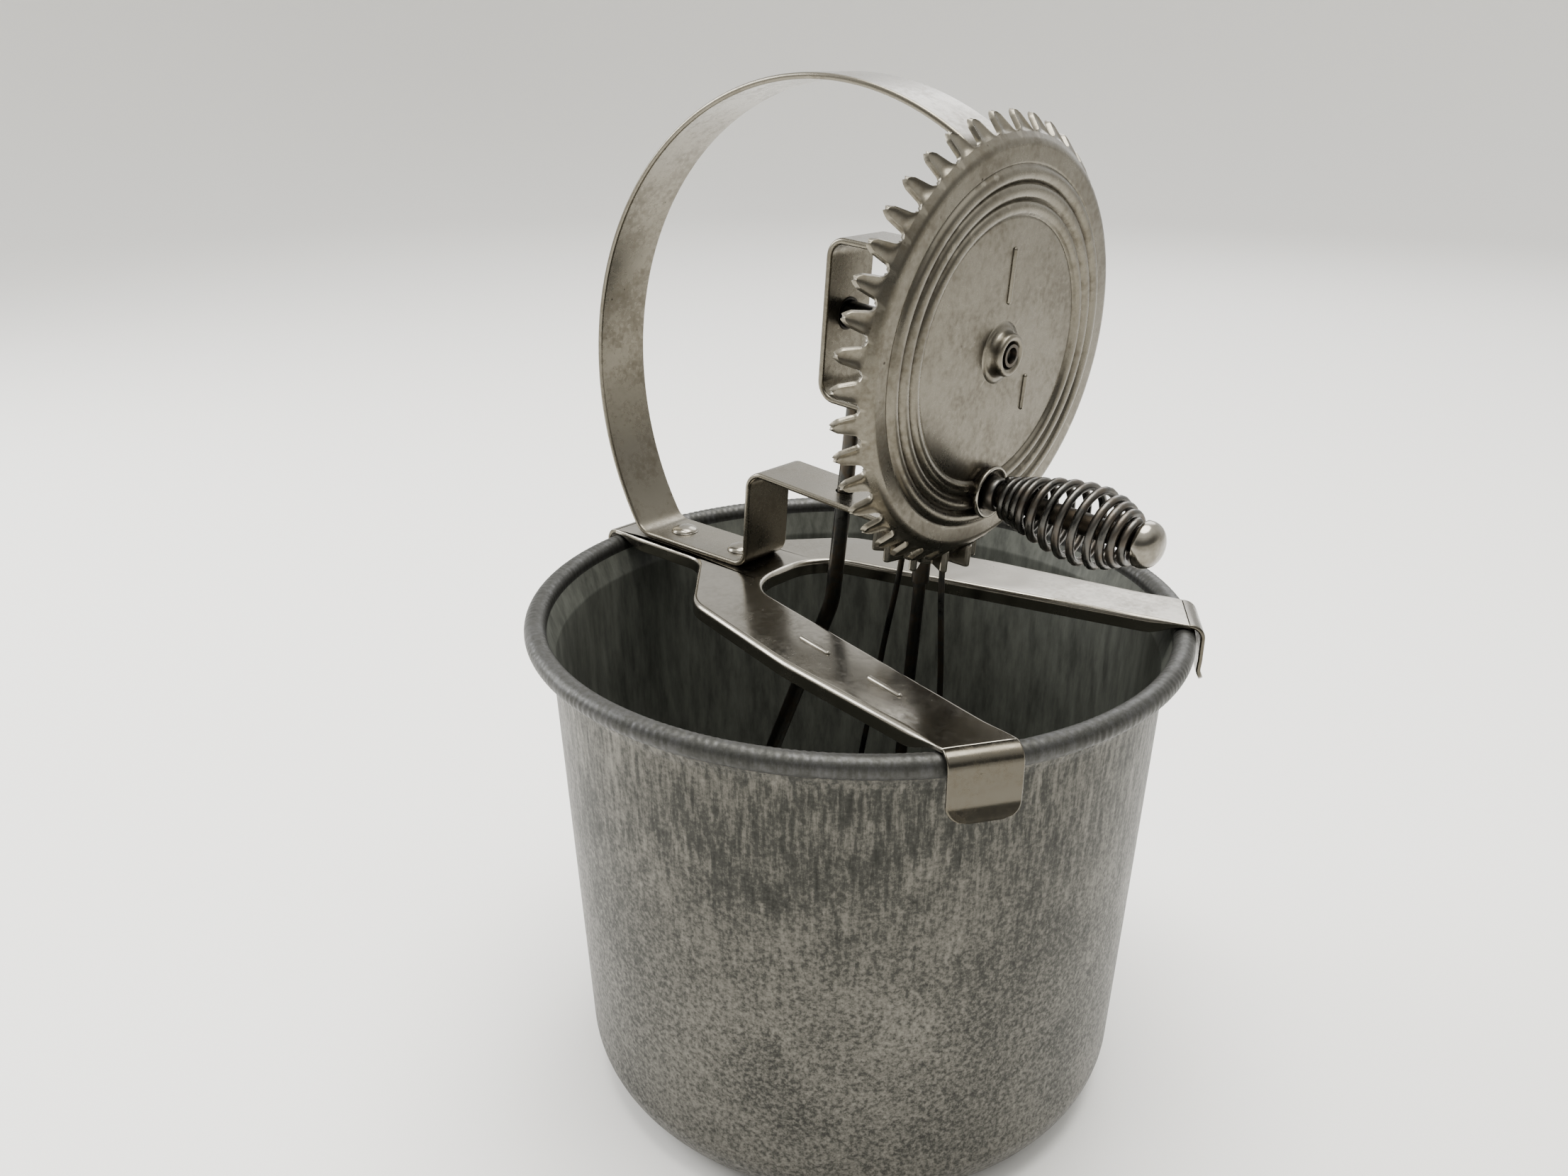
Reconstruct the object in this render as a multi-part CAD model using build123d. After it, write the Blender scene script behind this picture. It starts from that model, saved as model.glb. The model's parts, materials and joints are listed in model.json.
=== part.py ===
"""Hand-cranked dasher mixer on a spun metal pot, in millimetres.

Origin: centre of the pot's underside. +Z is up and +X points from the handle's foot towards the crank.
Everything that stands on the rim is drawn in a rim frame (origin on the pot's axis at the rim's top).
The wheel, its axle, the brackets and the dasher share a mechanism frame, which leans by axle_tilt
about Y: its local X is the wheel's axle and its local Z is the dasher's shaft.
"""
from build123d import *
from math import cos, radians, sin, sqrt
import os

# ---------------------------------------------------------------- driving sizes
# Pot
pot_height = 106.0
pot_wall_top_radius = 61.0
pot_wall_base_radius = 57.5
pot_corner_radius = 12.5
pot_sheet = 0.8
neck_height = 8.0
rim_outer_radius = 66.0
bead_size = 4.3
bead_sheet = 0.75

# Strip stock of the handle and the brackets
strip_width = 12.7
strip_sheet = 1.2
bend_radius = 2.6

# Rim frame (the flat Y that sits on the rim)
yoke_sheet = 0.9
yoke_flange = 3.2
stem_width = 15.6
arm_angle = 33.0
neck_corner = (-37.0, 9.0)
shoulder_corner = (-21.5, 25.2, 12.0)
arm_corner = (10.4, 33.8, 60.0)
crotch_corner = (-19.5, 10.6, 10.4)
plate_overlap = 0.5
tongue_width = 13.0
tongue_length = 9.0
tongue_pinch_share = 0.45
tongue_knee_share = 0.7
tongue_flare = 0.9
flange_step = 1.44

# Handle ring
ring_radius = 61.4
ring_centre_x = -7.7
ring_centre_z = 37.0
ring_end_bend = 5.0
foot_bend = 4.0
rivet_xs = (-49.6, -32.1)
rivet_head_radius = 3.0
rivet_head_height = 1.3
rivet_shank_radius = 1.4

# Mechanism frame
axle_tilt = 4.5
leg_u = -24.9
top_leg_v = 21.4
upright_u = 20.6
tenon_width = 5.0
tenon_proud = 0.5
axle_v = 56.1
axle_radius = 2.4
axle_head_radius = 3.4
axle_head_height = 1.2
spigot_radius = 2.0
rear_leg_u = -7.6
rear_top_v = 70.9
rear_bottom_v = 40.4

# Drive wheel
wheel_teeth = 42
wheel_face_u = 26.2
wheel_sheet = 0.9
wheel_flat_radius = 34.4
wheel_tip_radius = 38.6
finger_angle = 45.0
finger_root_width = 3.3
finger_tip_width = 1.5
finger_phase = -2.83
margin_share = 0.22
bead_groove = 0.19
bead_lines = (31.0, 28.3, 25.5, 22.9)
bead_rise = 0.75
hub_radius = 3.6
hub_rise = 2.4
hub_sleeve_radius = 4.6

# Crank and its sprung grip
crank_radius = 25.0
crank_pin_radius = 2.0
collar_radius = 4.8
collar_length = 4.0
collar_neck_radius = 3.1
pin_tail_height = 0.9
grip_length = 27.0
grip_wire = 1.5
grip_start_radius = 3.9
grip_widest_radius = 7.3
grip_widest_share = 0.68
grip_end_radius = 4.3
grip_close_pitch = 1.04
grip_points_per_turn = 12
grip_tight_turns = 4
grip_open_turns = 5
grip_last_turns = 3
cap_radius = 4.1
cap_length = 3.8

# Dasher
pinion_teeth = 10
pinion_tip_radius = 9.8
pinion_root_radius = 5.5
pinion_height = 4.6
pinion_tooth_width = 1.5
shaft_u = 15.0
shaft_radius = 1.2
shaft_collar_radius = 2.6
shaft_collar_height = 2.2
washer_sheet = 0.5
washer_radius = 4.6
wire_seat = 2.0
sleeve_radius = 1.7
sleeve_length = 6.0
dasher_wire = 1.2
dasher_top_radius = 4.6
dasher_neck_radius = 7.3
dasher_neck_v = -10.0
dasher_belly_radius = 11.5
dasher_belly_v = -60.0
dasher_end_v = -90.0
ferrule_radius = 2.8
ferrule_height = 5.0

# Stay rod
stay_radius = 1.6
stay_top_u = -4.2
stay_bend_u = -6.0
stay_bend_v = -3.0
stay_bow_u = -22.0
stay_bow_v = -52.0
stay_foot_v = -98.0
stay_bow_bend = 20.0
stay_foot_bend = 18.0
stay_head_height = 1.0
stay_notch = 2.4
foot_bearing_radius = 4.2
foot_bearing_height = 5.4

# Clearances
running_fit = 0.06
seat_gap = 0.02
rest_gap = 0.2
hook_gap = 0.45
side_gap = 0.3

# ---------------------------------------------------------------- frames
TO_RIM = Pos(0, 0, pot_height)
TO_MECHANISM = TO_RIM * Rot(0, axle_tilt, 0)


def from_mechanism(u, v):
    """Rim-frame x and z of a point given in the mechanism frame."""
    a = radians(axle_tilt)
    return (u * cos(a) + v * sin(a), v * cos(a) - u * sin(a))


def save(node, shape):
    export_step(shape, f"parts/{node}.step")


def drill(x, y, z, radius, length, axis="Z"):
    """A plain cylinder centred on a point, along one axis."""
    turn = {"X": Rot(0, 90, 0), "Y": Rot(90, 0, 0), "Z": Rot(0, 0, 0)}[axis]
    return Pos(x, y, z) * turn * Cylinder(radius, length)


def extrude_across(sketch, width):
    """A sketch in the XZ plane made into a strip of the given width, centred on Y = 0."""
    return extrude(Plane.XZ * sketch, width / 2, both=True)


# ---------------------------------------------------------------- pot
def make_pot():
    r_bead = bead_size / 2
    bead_x = rim_outer_radius - r_bead
    bead_z = pot_height - r_bead
    top_r = bead_x - r_bead + bead_sheet
    neck_z = pot_height - neck_height
    outer = [
        Line((0, 0), (pot_wall_base_radius - pot_corner_radius, 0)),
        RadiusArc(
            (pot_wall_base_radius - pot_corner_radius, 0),
            (pot_wall_base_radius, pot_corner_radius),
            -pot_corner_radius,
        ),
        Line((pot_wall_base_radius, pot_corner_radius), (pot_wall_top_radius, neck_z)),
        Line((pot_wall_top_radius, neck_z), (top_r, bead_z)),
        Line((top_r, bead_z), (top_r - pot_sheet, bead_z)),
        Line((top_r - pot_sheet, bead_z), (pot_wall_top_radius - pot_sheet, neck_z)),
        Line(
            (pot_wall_top_radius - pot_sheet, neck_z),
            (pot_wall_base_radius - pot_sheet, pot_corner_radius),
        ),
        RadiusArc(
            (pot_wall_base_radius - pot_sheet, pot_corner_radius),
            (pot_wall_base_radius - pot_corner_radius, pot_sheet),
            pot_corner_radius - pot_sheet,
        ),
        Line((pot_wall_base_radius - pot_corner_radius, pot_sheet), (0, pot_sheet)),
        Line((0, pot_sheet), (0, 0)),
    ]
    wall = make_face(outer)
    bead = Pos(bead_x, bead_z) * (Circle(r_bead) - Circle(r_bead - bead_sheet))
    pot = revolve(Plane.XZ * (wall + bead), Axis.Z)
    wire = revolve(Plane.XZ * (Pos(bead_x, bead_z) * Circle(r_bead - bead_sheet - seat_gap)), Axis.Z)
    save("pot", pot)
    save("rim_wire", wire)


def neck_inside_radius(depth):
    """Inner radius of the pot's neck at a depth below the rim's top."""
    bead_r = bead_size / 2
    top = rim_outer_radius - bead_size + bead_sheet - pot_sheet
    flare = (top + pot_sheet - pot_wall_top_radius) / (neck_height - bead_r)
    return top - (depth - bead_r) * flare


# ---------------------------------------------------------------- rim yoke
def yoke_reach():
    """Distance of each tongue's fold line from the pot's axis."""
    return rim_outer_radius + hook_gap - bead_size / 2


def yoke_outline():
    """The flat Y seen from above: a stem, two arms that spread to the rim, and rounded corners."""
    reach = yoke_reach()
    along = Vector(cos(radians(arm_angle)), sin(radians(arm_angle)))
    side = Vector(-along.Y, along.X)
    outer_end = along * reach + side * (tongue_width / 2)
    inner_end = along * reach - side * (tongue_width / 2)
    neck_x, neck_radius = neck_corner
    corners = [(neck_x, stem_width / 2, neck_radius), shoulder_corner, arm_corner, crotch_corner]
    upper = [(-reach, stem_width / 2)]
    upper += [(x, y) for x, y, _ in corners[:3]]
    upper += [(outer_end.X, outer_end.Y), (inner_end.X, inner_end.Y), crotch_corner[:2]]
    lower = [(x, -y) for x, y in reversed(upper)]
    outline = make_face(Polyline(*upper, *lower, close=True))
    for x, y, radius in corners:
        outline = round_corner(outline, (x, y), radius)
        outline = round_corner(outline, (x, -y), radius)
    return outline


def tongue_middle():
    """Middle line of a tongue, out over the rim bead, in under it a little, and out at its end."""
    bead = bead_size / 2
    flat = rest_gap + yoke_sheet / 2
    face = rim_outer_radius + hook_gap + yoke_sheet / 2
    fold = (rim_outer_radius + hook_gap - bead, flat)
    down = (face, rest_gap - bead)
    pinch = (face, down[1] - tongue_length * tongue_pinch_share)
    knee = (face - hook_gap + side_gap, down[1] - tongue_length * tongue_knee_share)
    lip = (face + tongue_flare, down[1] - tongue_length)
    return [
        Line((fold[0] - plate_overlap, flat), fold),
        RadiusArc(fold, down, bead + yoke_sheet / 2),
        Line(down, pinch),
        Line(pinch, knee),
        Line(knee, lip),
    ]


def make_yoke():
    """The pressed sheet Y on the rim: turned-down edges all round, and three tongues over the bead."""
    outline = yoke_outline()
    plate = extrude(outline, yoke_sheet)
    inside = offset(outline, -yoke_sheet, kind=Kind.INTERSECTION)
    flange_clear = neck_inside_radius(yoke_flange - rest_gap) - flange_step
    flange = extrude(outline - inside, -yoke_flange) & Cylinder(flange_clear, 4 * yoke_flange)
    yoke = Pos(0, 0, rest_gap) * (plate + flange)
    tongue = extrude_across(trace(tongue_middle(), yoke_sheet), tongue_width)
    core = 2 * (yoke_reach() - plate_overlap)
    tongue -= Box(core, 2 * tongue_width, 4 * tongue_length)
    for angle in (arm_angle, -arm_angle, 180):
        yoke += Rot(0, 0, angle) * tongue
    for x in rivet_xs:
        yoke -= drill(x, 0, rest_gap, rivet_shank_radius + seat_gap, 4 * yoke_flange)
    save("rim_yoke", TO_RIM * yoke)


# ---------------------------------------------------------------- strip frame
def strip_middle():
    """Middle lines of the strip: half a sheet inside each face that sets its place."""
    half = strip_sheet / 2
    foot_z = rest_gap + yoke_sheet + seat_gap + half
    return foot_z, leg_u - half, top_leg_v - half, upright_u - half


def make_strap_frame():
    """One strip: foot, short leg, bearing shelf, upright behind the wheel, and the handle ring."""
    foot_z, leg, shelf, upright = strip_middle()
    tilt = radians(axle_tilt)
    ring = ring_radius - strip_sheet / 2
    ring_u = ring_centre_x * cos(tilt) - ring_centre_z * sin(tilt)
    ring_v = ring_centre_x * sin(tilt) + ring_centre_z * cos(tilt)
    foot_left = (ring_centre_x - sqrt(ring**2 - (ring_centre_z - foot_z) ** 2), foot_z)
    leg_foot = from_mechanism(leg, (foot_z + leg * sin(tilt)) / cos(tilt))
    leg_top = from_mechanism(leg, shelf)
    shelf_end = from_mechanism(upright, shelf)
    ring_end = from_mechanism(upright, ring_v + sqrt(ring**2 - (upright - ring_u) ** 2))
    ring_top = (ring_centre_x, ring_centre_z + ring)
    ring_left = (ring_centre_x - ring, ring_centre_z)
    loop = make_face(
        [
            Line(foot_left, leg_foot),
            Line(leg_foot, leg_top),
            Line(leg_top, shelf_end),
            Line(shelf_end, ring_end),
            ThreePointArc(ring_end, arc_middle(ring_end, ring_top, ring), ring_top),
            ThreePointArc(ring_top, arc_middle(ring_top, ring_left, ring), ring_left),
            ThreePointArc(ring_left, arc_middle(ring_left, foot_left, ring), foot_left),
        ]
    )
    bend = bend_radius + strip_sheet / 2
    loop = round_corner(loop, leg_foot, bend)
    loop = round_corner(loop, leg_top, bend)
    loop = round_corner(loop, shelf_end, bend)
    loop = round_corner(loop, ring_end, ring_end_bend)
    loop = round_corner(loop, foot_left, foot_bend)
    band = offset(loop, strip_sheet / 2) - offset(loop, -strip_sheet / 2)
    strap = extrude_across(band, strip_width)
    for x in rivet_xs:
        strap -= drill(x, 0, foot_z, rivet_shank_radius + seat_gap, 4 * strip_sheet)
    holes = drill(upright, 0, axle_v, axle_radius + running_fit, 3 * strip_sheet, "X")
    holes += drill(shaft_u, 0, shelf, shaft_radius + running_fit, 3 * strip_sheet)
    stay_u = stay_u_at(shelf)
    holes += drill(stay_u, 0, shelf, stay_radius + side_gap, 3 * strip_sheet)
    holes += Pos(stay_u - stay_radius, 0, shelf) * Box(stay_notch, stay_notch, 3 * strip_sheet)
    for v in bracket_middles():
        slot = Box(3 * strip_sheet, tenon_width + 2 * seat_gap, strip_sheet + 2 * seat_gap)
        holes += Pos(upright, 0, v) * slot
    strap -= Rot(0, axle_tilt, 0) * holes
    save("strap_frame", TO_RIM * strap)


def arc_middle(start, end, radius):
    """The point halfway round the ring between two points on its middle line."""
    x = (start[0] + end[0]) / 2 - ring_centre_x
    z = (start[1] + end[1]) / 2 - ring_centre_z
    reach = sqrt(x * x + z * z)
    return (ring_centre_x + x / reach * radius, ring_centre_z + z / reach * radius)


def round_corner(face, corner, radius):
    found = [v for v in face.vertices() if abs(v.X - corner[0]) + abs(v.Y - corner[1]) < 0.01]
    return fillet(found, radius)


def bracket_middles():
    return rear_top_v - strip_sheet / 2, rear_bottom_v + strip_sheet / 2


def stay_u_at(v):
    """Where the stay rod's straight upper part is at a height above its first bend."""
    top_v = rear_bottom_v + strip_sheet
    share = (v - stay_bend_v) / (top_v - stay_bend_v)
    return stay_bend_u + share * (stay_top_u - stay_bend_u)


def stay_top_plane():
    """The stay's top, square to its straight upper part."""
    top = Vector(stay_top_u, 0, rear_bottom_v + strip_sheet)
    return Plane(origin=top, z_dir=top - Vector(stay_bend_u, 0, stay_bend_v))


def make_rear_bracket():
    """The C-shaped strip that holds the axle's rear end, tenoned into the upright."""
    top, bottom = bracket_middles()
    rear = rear_leg_u - strip_sheet / 2
    end = upright_u - strip_sheet - seat_gap
    path = FilletPolyline(
        (end, bottom), (rear, bottom), (rear, top), (end, top), radius=bend_radius + strip_sheet / 2
    )
    bracket = extrude_across(trace(path, strip_sheet), strip_width)
    bracket &= Pos(end - ring_radius, 0, (top + bottom) / 2) * Box(
        2 * ring_radius, 2 * strip_width, 2 * ring_radius
    )
    for v in (top, bottom):
        length = strip_sheet + tenon_proud
        bracket += Pos(end + length / 2, 0, v) * Box(length, tenon_width, strip_sheet)
    bracket -= drill(rear, 0, axle_v, axle_radius + running_fit, 3 * strip_sheet, "X")
    bracket -= stay_top_plane() * Cylinder(stay_radius + seat_gap, 5 * strip_sheet)
    save("rear_bracket", TO_MECHANISM * bracket)


def make_foot_rivets():
    """Two domed rivets through the strap's foot and the yoke's stem, as one group."""
    foot_z = strip_middle()[0]
    top = foot_z + strip_sheet / 2 + seat_gap
    bottom = rest_gap - seat_gap
    rivets = []
    for x in rivet_xs:
        sphere = (rivet_head_radius**2 + rivet_head_height**2) / (2 * rivet_head_height)
        dome = Pos(0, 0, top + rivet_head_height - sphere) * Sphere(sphere)
        dome &= Pos(0, 0, top + rivet_head_height) * Box(
            4 * rivet_head_radius, 4 * rivet_head_radius, 2 * rivet_head_height
        )
        tail_height = rivet_head_height * 0.6
        tail = Pos(0, 0, bottom - tail_height / 2) * Cylinder(rivet_head_radius * 0.8, tail_height)
        shank = Pos(0, 0, (top + bottom) / 2) * Cylinder(rivet_shank_radius, top - bottom)
        rivets.append(Pos(x, 0, 0) * (dome + shank + tail))
    save("foot_rivets", TO_RIM * (Part() + rivets))


def make_stay():
    """The fixed rod from the rear bracket, out round the dasher and back to its foot bearing."""
    top_v = rear_bottom_v + strip_sheet
    end_u = shaft_u - foot_bearing_radius + stay_radius
    points = [
        (stay_top_u, 0, top_v),
        (stay_bend_u, 0, stay_bend_v),
        (stay_bow_u, 0, stay_bow_v),
        (stay_bow_u, 0, stay_foot_v),
        (end_u, 0, stay_foot_v),
    ]
    path = FilletPolyline(*points, radius=[stay_bow_bend, stay_bow_bend, stay_foot_bend])
    start = Plane(origin=path @ 0, z_dir=path % 0)
    rod = sweep(start * Circle(stay_radius), path)
    lift = stay_radius * 0.1 + seat_gap
    neck = Pos(0, 0, lift / 2) * Cylinder(stay_radius, lift)
    head = Pos(0, 0, lift + stay_head_height / 2) * Cylinder(stay_radius * 1.5, stay_head_height)
    rod += stay_top_plane() * (neck + head)
    save("stay_rod", TO_MECHANISM * rod)

    bearing = Pos(shaft_u, 0, stay_foot_v + 1.0) * Cylinder(foot_bearing_radius, foot_bearing_height)
    depth = 2 * foot_bearing_height
    mouth = shaft_end_v() - side_gap + depth / 2
    bearing -= drill(shaft_u, 0, mouth, shaft_radius + running_fit, depth)
    reach = 4 * foot_bearing_radius
    bearing -= drill(end_u - reach / 2, 0, stay_foot_v, stay_radius + seat_gap, reach, "X")
    save("foot_bearing", TO_MECHANISM * bearing)


def shaft_end_v():
    return stay_foot_v + 1.0


# ---------------------------------------------------------------- drive wheel
def make_drive_wheel():
    """Sheet disc with rolled beads; its edge is slit into fingers that are bent back."""
    back = wheel_face_u - wheel_sheet
    bend = radians(finger_angle)
    profile = Pos((wheel_face_u + back) / 2, wheel_flat_radius / 2) * Rectangle(
        wheel_sheet, wheel_flat_radius
    )
    for outer, inner in zip(bead_lines, bead_lines[1:]):
        middle = (outer + inner) / 2
        half = (outer - inner) / 2 - bead_groove
        ball = (half**2 + bead_rise**2) / (2 * bead_rise)
        dome = Pos(wheel_face_u + bead_rise - ball, middle) * Circle(ball)
        profile += dome & Pos(wheel_face_u + 1, middle) * Rectangle(2, 2 * half)
        hollow = Pos(back + bead_rise - ball, middle) * Circle(ball)
        profile -= hollow & Pos(back + 1, middle) * Rectangle(2, 2 * half)
    disc = revolve(Plane.XZ * profile, Axis.X)

    middle_u = wheel_face_u - wheel_sheet / 2
    root = (middle_u, wheel_flat_radius)
    length = (wheel_tip_radius - wheel_flat_radius) / cos(bend)
    margin = length * margin_share
    rim = Pos(root[0], root[1]) * Rot(0, 0, finger_angle) * Rectangle(
        wheel_sheet, 2 * margin, align=(Align.CENTER, Align.CENTER)
    )
    rim += Pos(root[0], root[1]) * Circle(wheel_sheet / 2)
    disc += revolve(Plane.XZ * rim, Axis.X)
    plane = Plane(
        origin=(root[0], 0, root[1]), x_dir=(0, 1, 0), z_dir=(cos(bend), 0, sin(bend))
    )
    tip = finger_tip_width / 2
    blade = make_face(
        Polyline(
            (-finger_root_width / 2, margin / 2),
            (-tip, length - tip),
            (tip, length - tip),
            (finger_root_width / 2, margin / 2),
            close=True,
        )
    )
    blade += Pos(0, length - tip) * Circle(tip)
    finger = extrude(plane * blade, wheel_sheet / 2, both=True)
    fingers = [
        Rot(finger_phase + i * 360 / wheel_teeth, 0, 0) * finger for i in range(wheel_teeth)
    ]
    wheel = disc + fingers
    seat = Pos(0, 0, -crank_radius) * Rot(0, 90, 0)
    wheel -= Pos(wheel_face_u + 2, 0, 0) * seat * Cylinder(collar_radius + side_gap, 4)
    wheel += Pos(middle_u, 0, 0) * seat * Cylinder(collar_radius + side_gap, wheel_sheet)
    wheel -= drill(middle_u, 0, 0, spigot_radius + seat_gap, 4 * wheel_sheet, "X")
    wheel -= drill(middle_u, 0, -crank_radius, crank_pin_radius + seat_gap, 6 * wheel_sheet, "X")
    save("drive_wheel", at_axle(wheel))


def at_axle(shape):
    return TO_MECHANISM * Pos(0, 0, axle_v) * shape


def turned(points, at_v=0.0):
    """A solid turned about the local X axis from (u, radius) points."""
    return Pos(0, 0, at_v) * revolve(Plane.XZ * make_face(Polyline(*points, close=True)), Axis.X)


def make_axle():
    rear_face = rear_leg_u - strip_sheet
    head_start = rear_face - running_fit - axle_head_height
    back = wheel_face_u - wheel_sheet
    tip = wheel_face_u + hub_rise
    points = [
        (head_start, 0),
        (head_start, axle_head_radius * 0.7),
        (head_start + axle_head_height / 2, axle_head_radius),
        (rear_face - running_fit, axle_head_radius),
        (rear_face - running_fit, axle_radius),
        (back - seat_gap, axle_radius),
        (back - seat_gap, spigot_radius),
        (tip, spigot_radius),
        (tip, spigot_radius * 0.72),
        (tip - 1.2, spigot_radius * 0.6),
        (tip - 1.6, 0),
    ]
    save("wheel_axle", at_axle(turned(points)))

    gap = upright_u + rest_gap
    sleeve = [
        (gap, axle_radius + seat_gap),
        (gap, hub_sleeve_radius),
        (back - seat_gap, hub_sleeve_radius),
        (back - seat_gap, axle_radius + seat_gap),
    ]
    save("hub_sleeve", at_axle(turned(sleeve)))

    face = wheel_face_u + seat_gap
    bore = spigot_radius + seat_gap
    eyelet = [
        (face, bore),
        (face, hub_radius),
        (face + hub_rise * 0.45, hub_radius),
        (face + hub_rise * 0.85, hub_radius * 0.88),
        (face + hub_rise, hub_radius * 0.74),
        (face + hub_rise, bore),
    ]
    save("hub_eyelet", at_axle(turned(eyelet)))


# ---------------------------------------------------------------- crank and grip
def grip_places():
    """Where the grip starts and ends along the wheel's axle direction."""
    start = wheel_face_u + collar_length + side_gap
    return start, start + grip_length


def make_crank():
    back = wheel_face_u - wheel_sheet
    end = grip_places()[1]
    face = wheel_face_u + seat_gap
    cap_start = end + side_gap
    pin = [
        (back - seat_gap - pin_tail_height, 0),
        (back - seat_gap - pin_tail_height, crank_pin_radius * 1.3),
        (back - seat_gap, crank_pin_radius * 1.6),
        (back - seat_gap, crank_pin_radius),
        (cap_start + cap_length * 0.5, crank_pin_radius),
        (cap_start + cap_length * 0.5, 0),
    ]
    save("crank_pin", at_axle(turned(pin, -crank_radius)))

    bore = crank_pin_radius + seat_gap
    collar = [
        (face, bore),
        (face, collar_radius * 0.8),
        (face + collar_length * 0.3, collar_radius * 0.88),
        (face + collar_length * 0.42, collar_radius),
        (face + collar_length * 0.58, collar_radius),
        (face + collar_length * 0.58, collar_neck_radius),
        (face + collar_length - seat_gap, collar_neck_radius),
        (face + collar_length - seat_gap, bore),
    ]
    save("crank_collar", at_axle(turned(collar, -crank_radius)))

    half = cap_length * 0.5
    cap_profile = make_face(
        [
            Line((cap_start, bore), (cap_start, cap_radius)),
            Line((cap_start, cap_radius), (cap_start + half * 0.6, cap_radius)),
            Bezier(
                (cap_start + half * 0.6, cap_radius),
                (cap_start + cap_length * 0.8, cap_radius),
                (cap_start + cap_length, cap_radius * 0.6),
                (cap_start + cap_length, 0),
            ),
            Line((cap_start + cap_length, 0), (cap_start + half + seat_gap, 0)),
            Line((cap_start + half + seat_gap, 0), (cap_start + half + seat_gap, bore)),
            Line((cap_start + half + seat_gap, bore), (cap_start, bore)),
        ]
    )
    cap = Pos(0, 0, -crank_radius) * revolve(Plane.XZ * cap_profile, Axis.X)
    save("grip_end_cap", at_axle(cap))


def grip_turns():
    return grip_tight_turns + grip_open_turns + grip_last_turns


def grip_radius(share):
    """Radius over the coils, which swells slowly from the wheel and closes quickly to the cap."""
    if share < grip_widest_share:
        grown = sin(radians(90 * share / grip_widest_share)) ** 1.15
        return grip_start_radius + (grip_widest_radius - grip_start_radius) * grown
    left = cos(radians(90 * (share - grip_widest_share) / (1 - grip_widest_share)))
    return grip_end_radius + (grip_widest_radius - grip_end_radius) * left


def grip_point(turn):
    """A point on the spring's middle line: close coils at both ends, open in the middle."""
    start = grip_places()[0]
    half = grip_wire / 2
    close = grip_wire * grip_close_pitch
    travel = grip_length - grip_wire
    open_pitch = (travel - close * (grip_tight_turns + grip_last_turns)) / grip_open_turns
    along = min(turn, grip_tight_turns) * close
    along += min(max(turn - grip_tight_turns, 0), grip_open_turns) * open_pitch
    along += max(turn - grip_tight_turns - grip_open_turns, 0) * close
    radius = grip_radius(along / travel) - half
    a = radians(360 * turn)
    return (start + half + along, radius * sin(a), radius * cos(a) - crank_radius)


def make_grip():
    steps = grip_points_per_turn * grip_turns()
    path = Spline(*[grip_point(i / grip_points_per_turn) for i in range(steps + 1)])
    section = Plane(origin=path @ 0, z_dir=path % 0) * Circle(grip_wire / 2)
    save("grip_spring", at_axle(sweep(section, path, is_frenet=True)))


# ---------------------------------------------------------------- dasher
def collar_seat_v():
    """Underside of the shaft's collar, clear of the shelf's top and of the bend beside it."""
    past = max(0.0, shaft_u + shaft_collar_radius - (upright_u - strip_sheet - bend_radius))
    return top_leg_v + running_fit + bend_radius - sqrt(bend_radius**2 - past**2)


def pinion_top_v():
    return top_leg_v - strip_sheet - 2 * running_fit - washer_sheet


def make_dasher():
    top = pinion_top_v()
    bottom = top - pinion_height
    bore = shaft_radius + seat_gap
    blade = Pos((pinion_tip_radius - pinion_tooth_width / 2) / 2, 0) * Rectangle(
        pinion_tip_radius - pinion_tooth_width / 2, pinion_tooth_width
    )
    blade += Pos(pinion_tip_radius - pinion_tooth_width / 2, 0) * Circle(pinion_tooth_width / 2)
    phase = finger_phase * wheel_teeth / pinion_teeth
    outline = Circle(pinion_root_radius)
    for i in range(pinion_teeth):
        outline += Rot(0, 0, phase + (i + 0.5) * 360 / pinion_teeth) * blade
    outline -= Circle(bore)
    pinion = Pos(0, 0, bottom) * extrude(outline, pinion_height)
    wires = dasher_wires(bottom)
    for x in (dasher_top_radius, -dasher_top_radius):
        pinion -= drill(x, 0, bottom, dasher_wire / 2 + seat_gap, 2 * wire_seat)
    save("dasher_pinion", at_shaft(pinion))
    save("dasher_wires", at_shaft(wires))

    washer = Cylinder(washer_radius, washer_sheet) - Cylinder(bore, 2 * washer_sheet)
    save("thrust_washer", at_shaft(Pos(0, 0, top + running_fit + washer_sheet / 2) * washer))
    sleeve = Cylinder(sleeve_radius, sleeve_length) - Cylinder(bore, 2 * sleeve_length)
    save("pinion_sleeve", at_shaft(Pos(0, 0, bottom - seat_gap - sleeve_length / 2) * sleeve))
    collar = Cylinder(shaft_collar_radius, shaft_collar_height)
    collar -= Cylinder(bore, 2 * shaft_collar_height)
    collar_v = collar_seat_v() + shaft_collar_height / 2
    save("shaft_collar", at_shaft(Pos(0, 0, collar_v) * collar))
    ferrule = Cylinder(ferrule_radius, ferrule_height) - Cylinder(bore, 2 * ferrule_height)
    for turn in (0, 180):
        hole = drill(ferrule_radius, 0, 0, dasher_wire / 2 + seat_gap, wire_seat, "X")
        ferrule -= Rot(0, 0, turn) * hole
    save("dasher_ferrule", at_shaft(Pos(0, 0, dasher_end_v) * ferrule))
    shaft_top = collar_seat_v() + shaft_collar_height + seat_gap
    length = shaft_top - shaft_end_v()
    shaft = Pos(0, 0, shaft_end_v() + length / 2) * Cylinder(shaft_radius, length)
    save("dasher_shaft", at_shaft(shaft))


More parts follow.
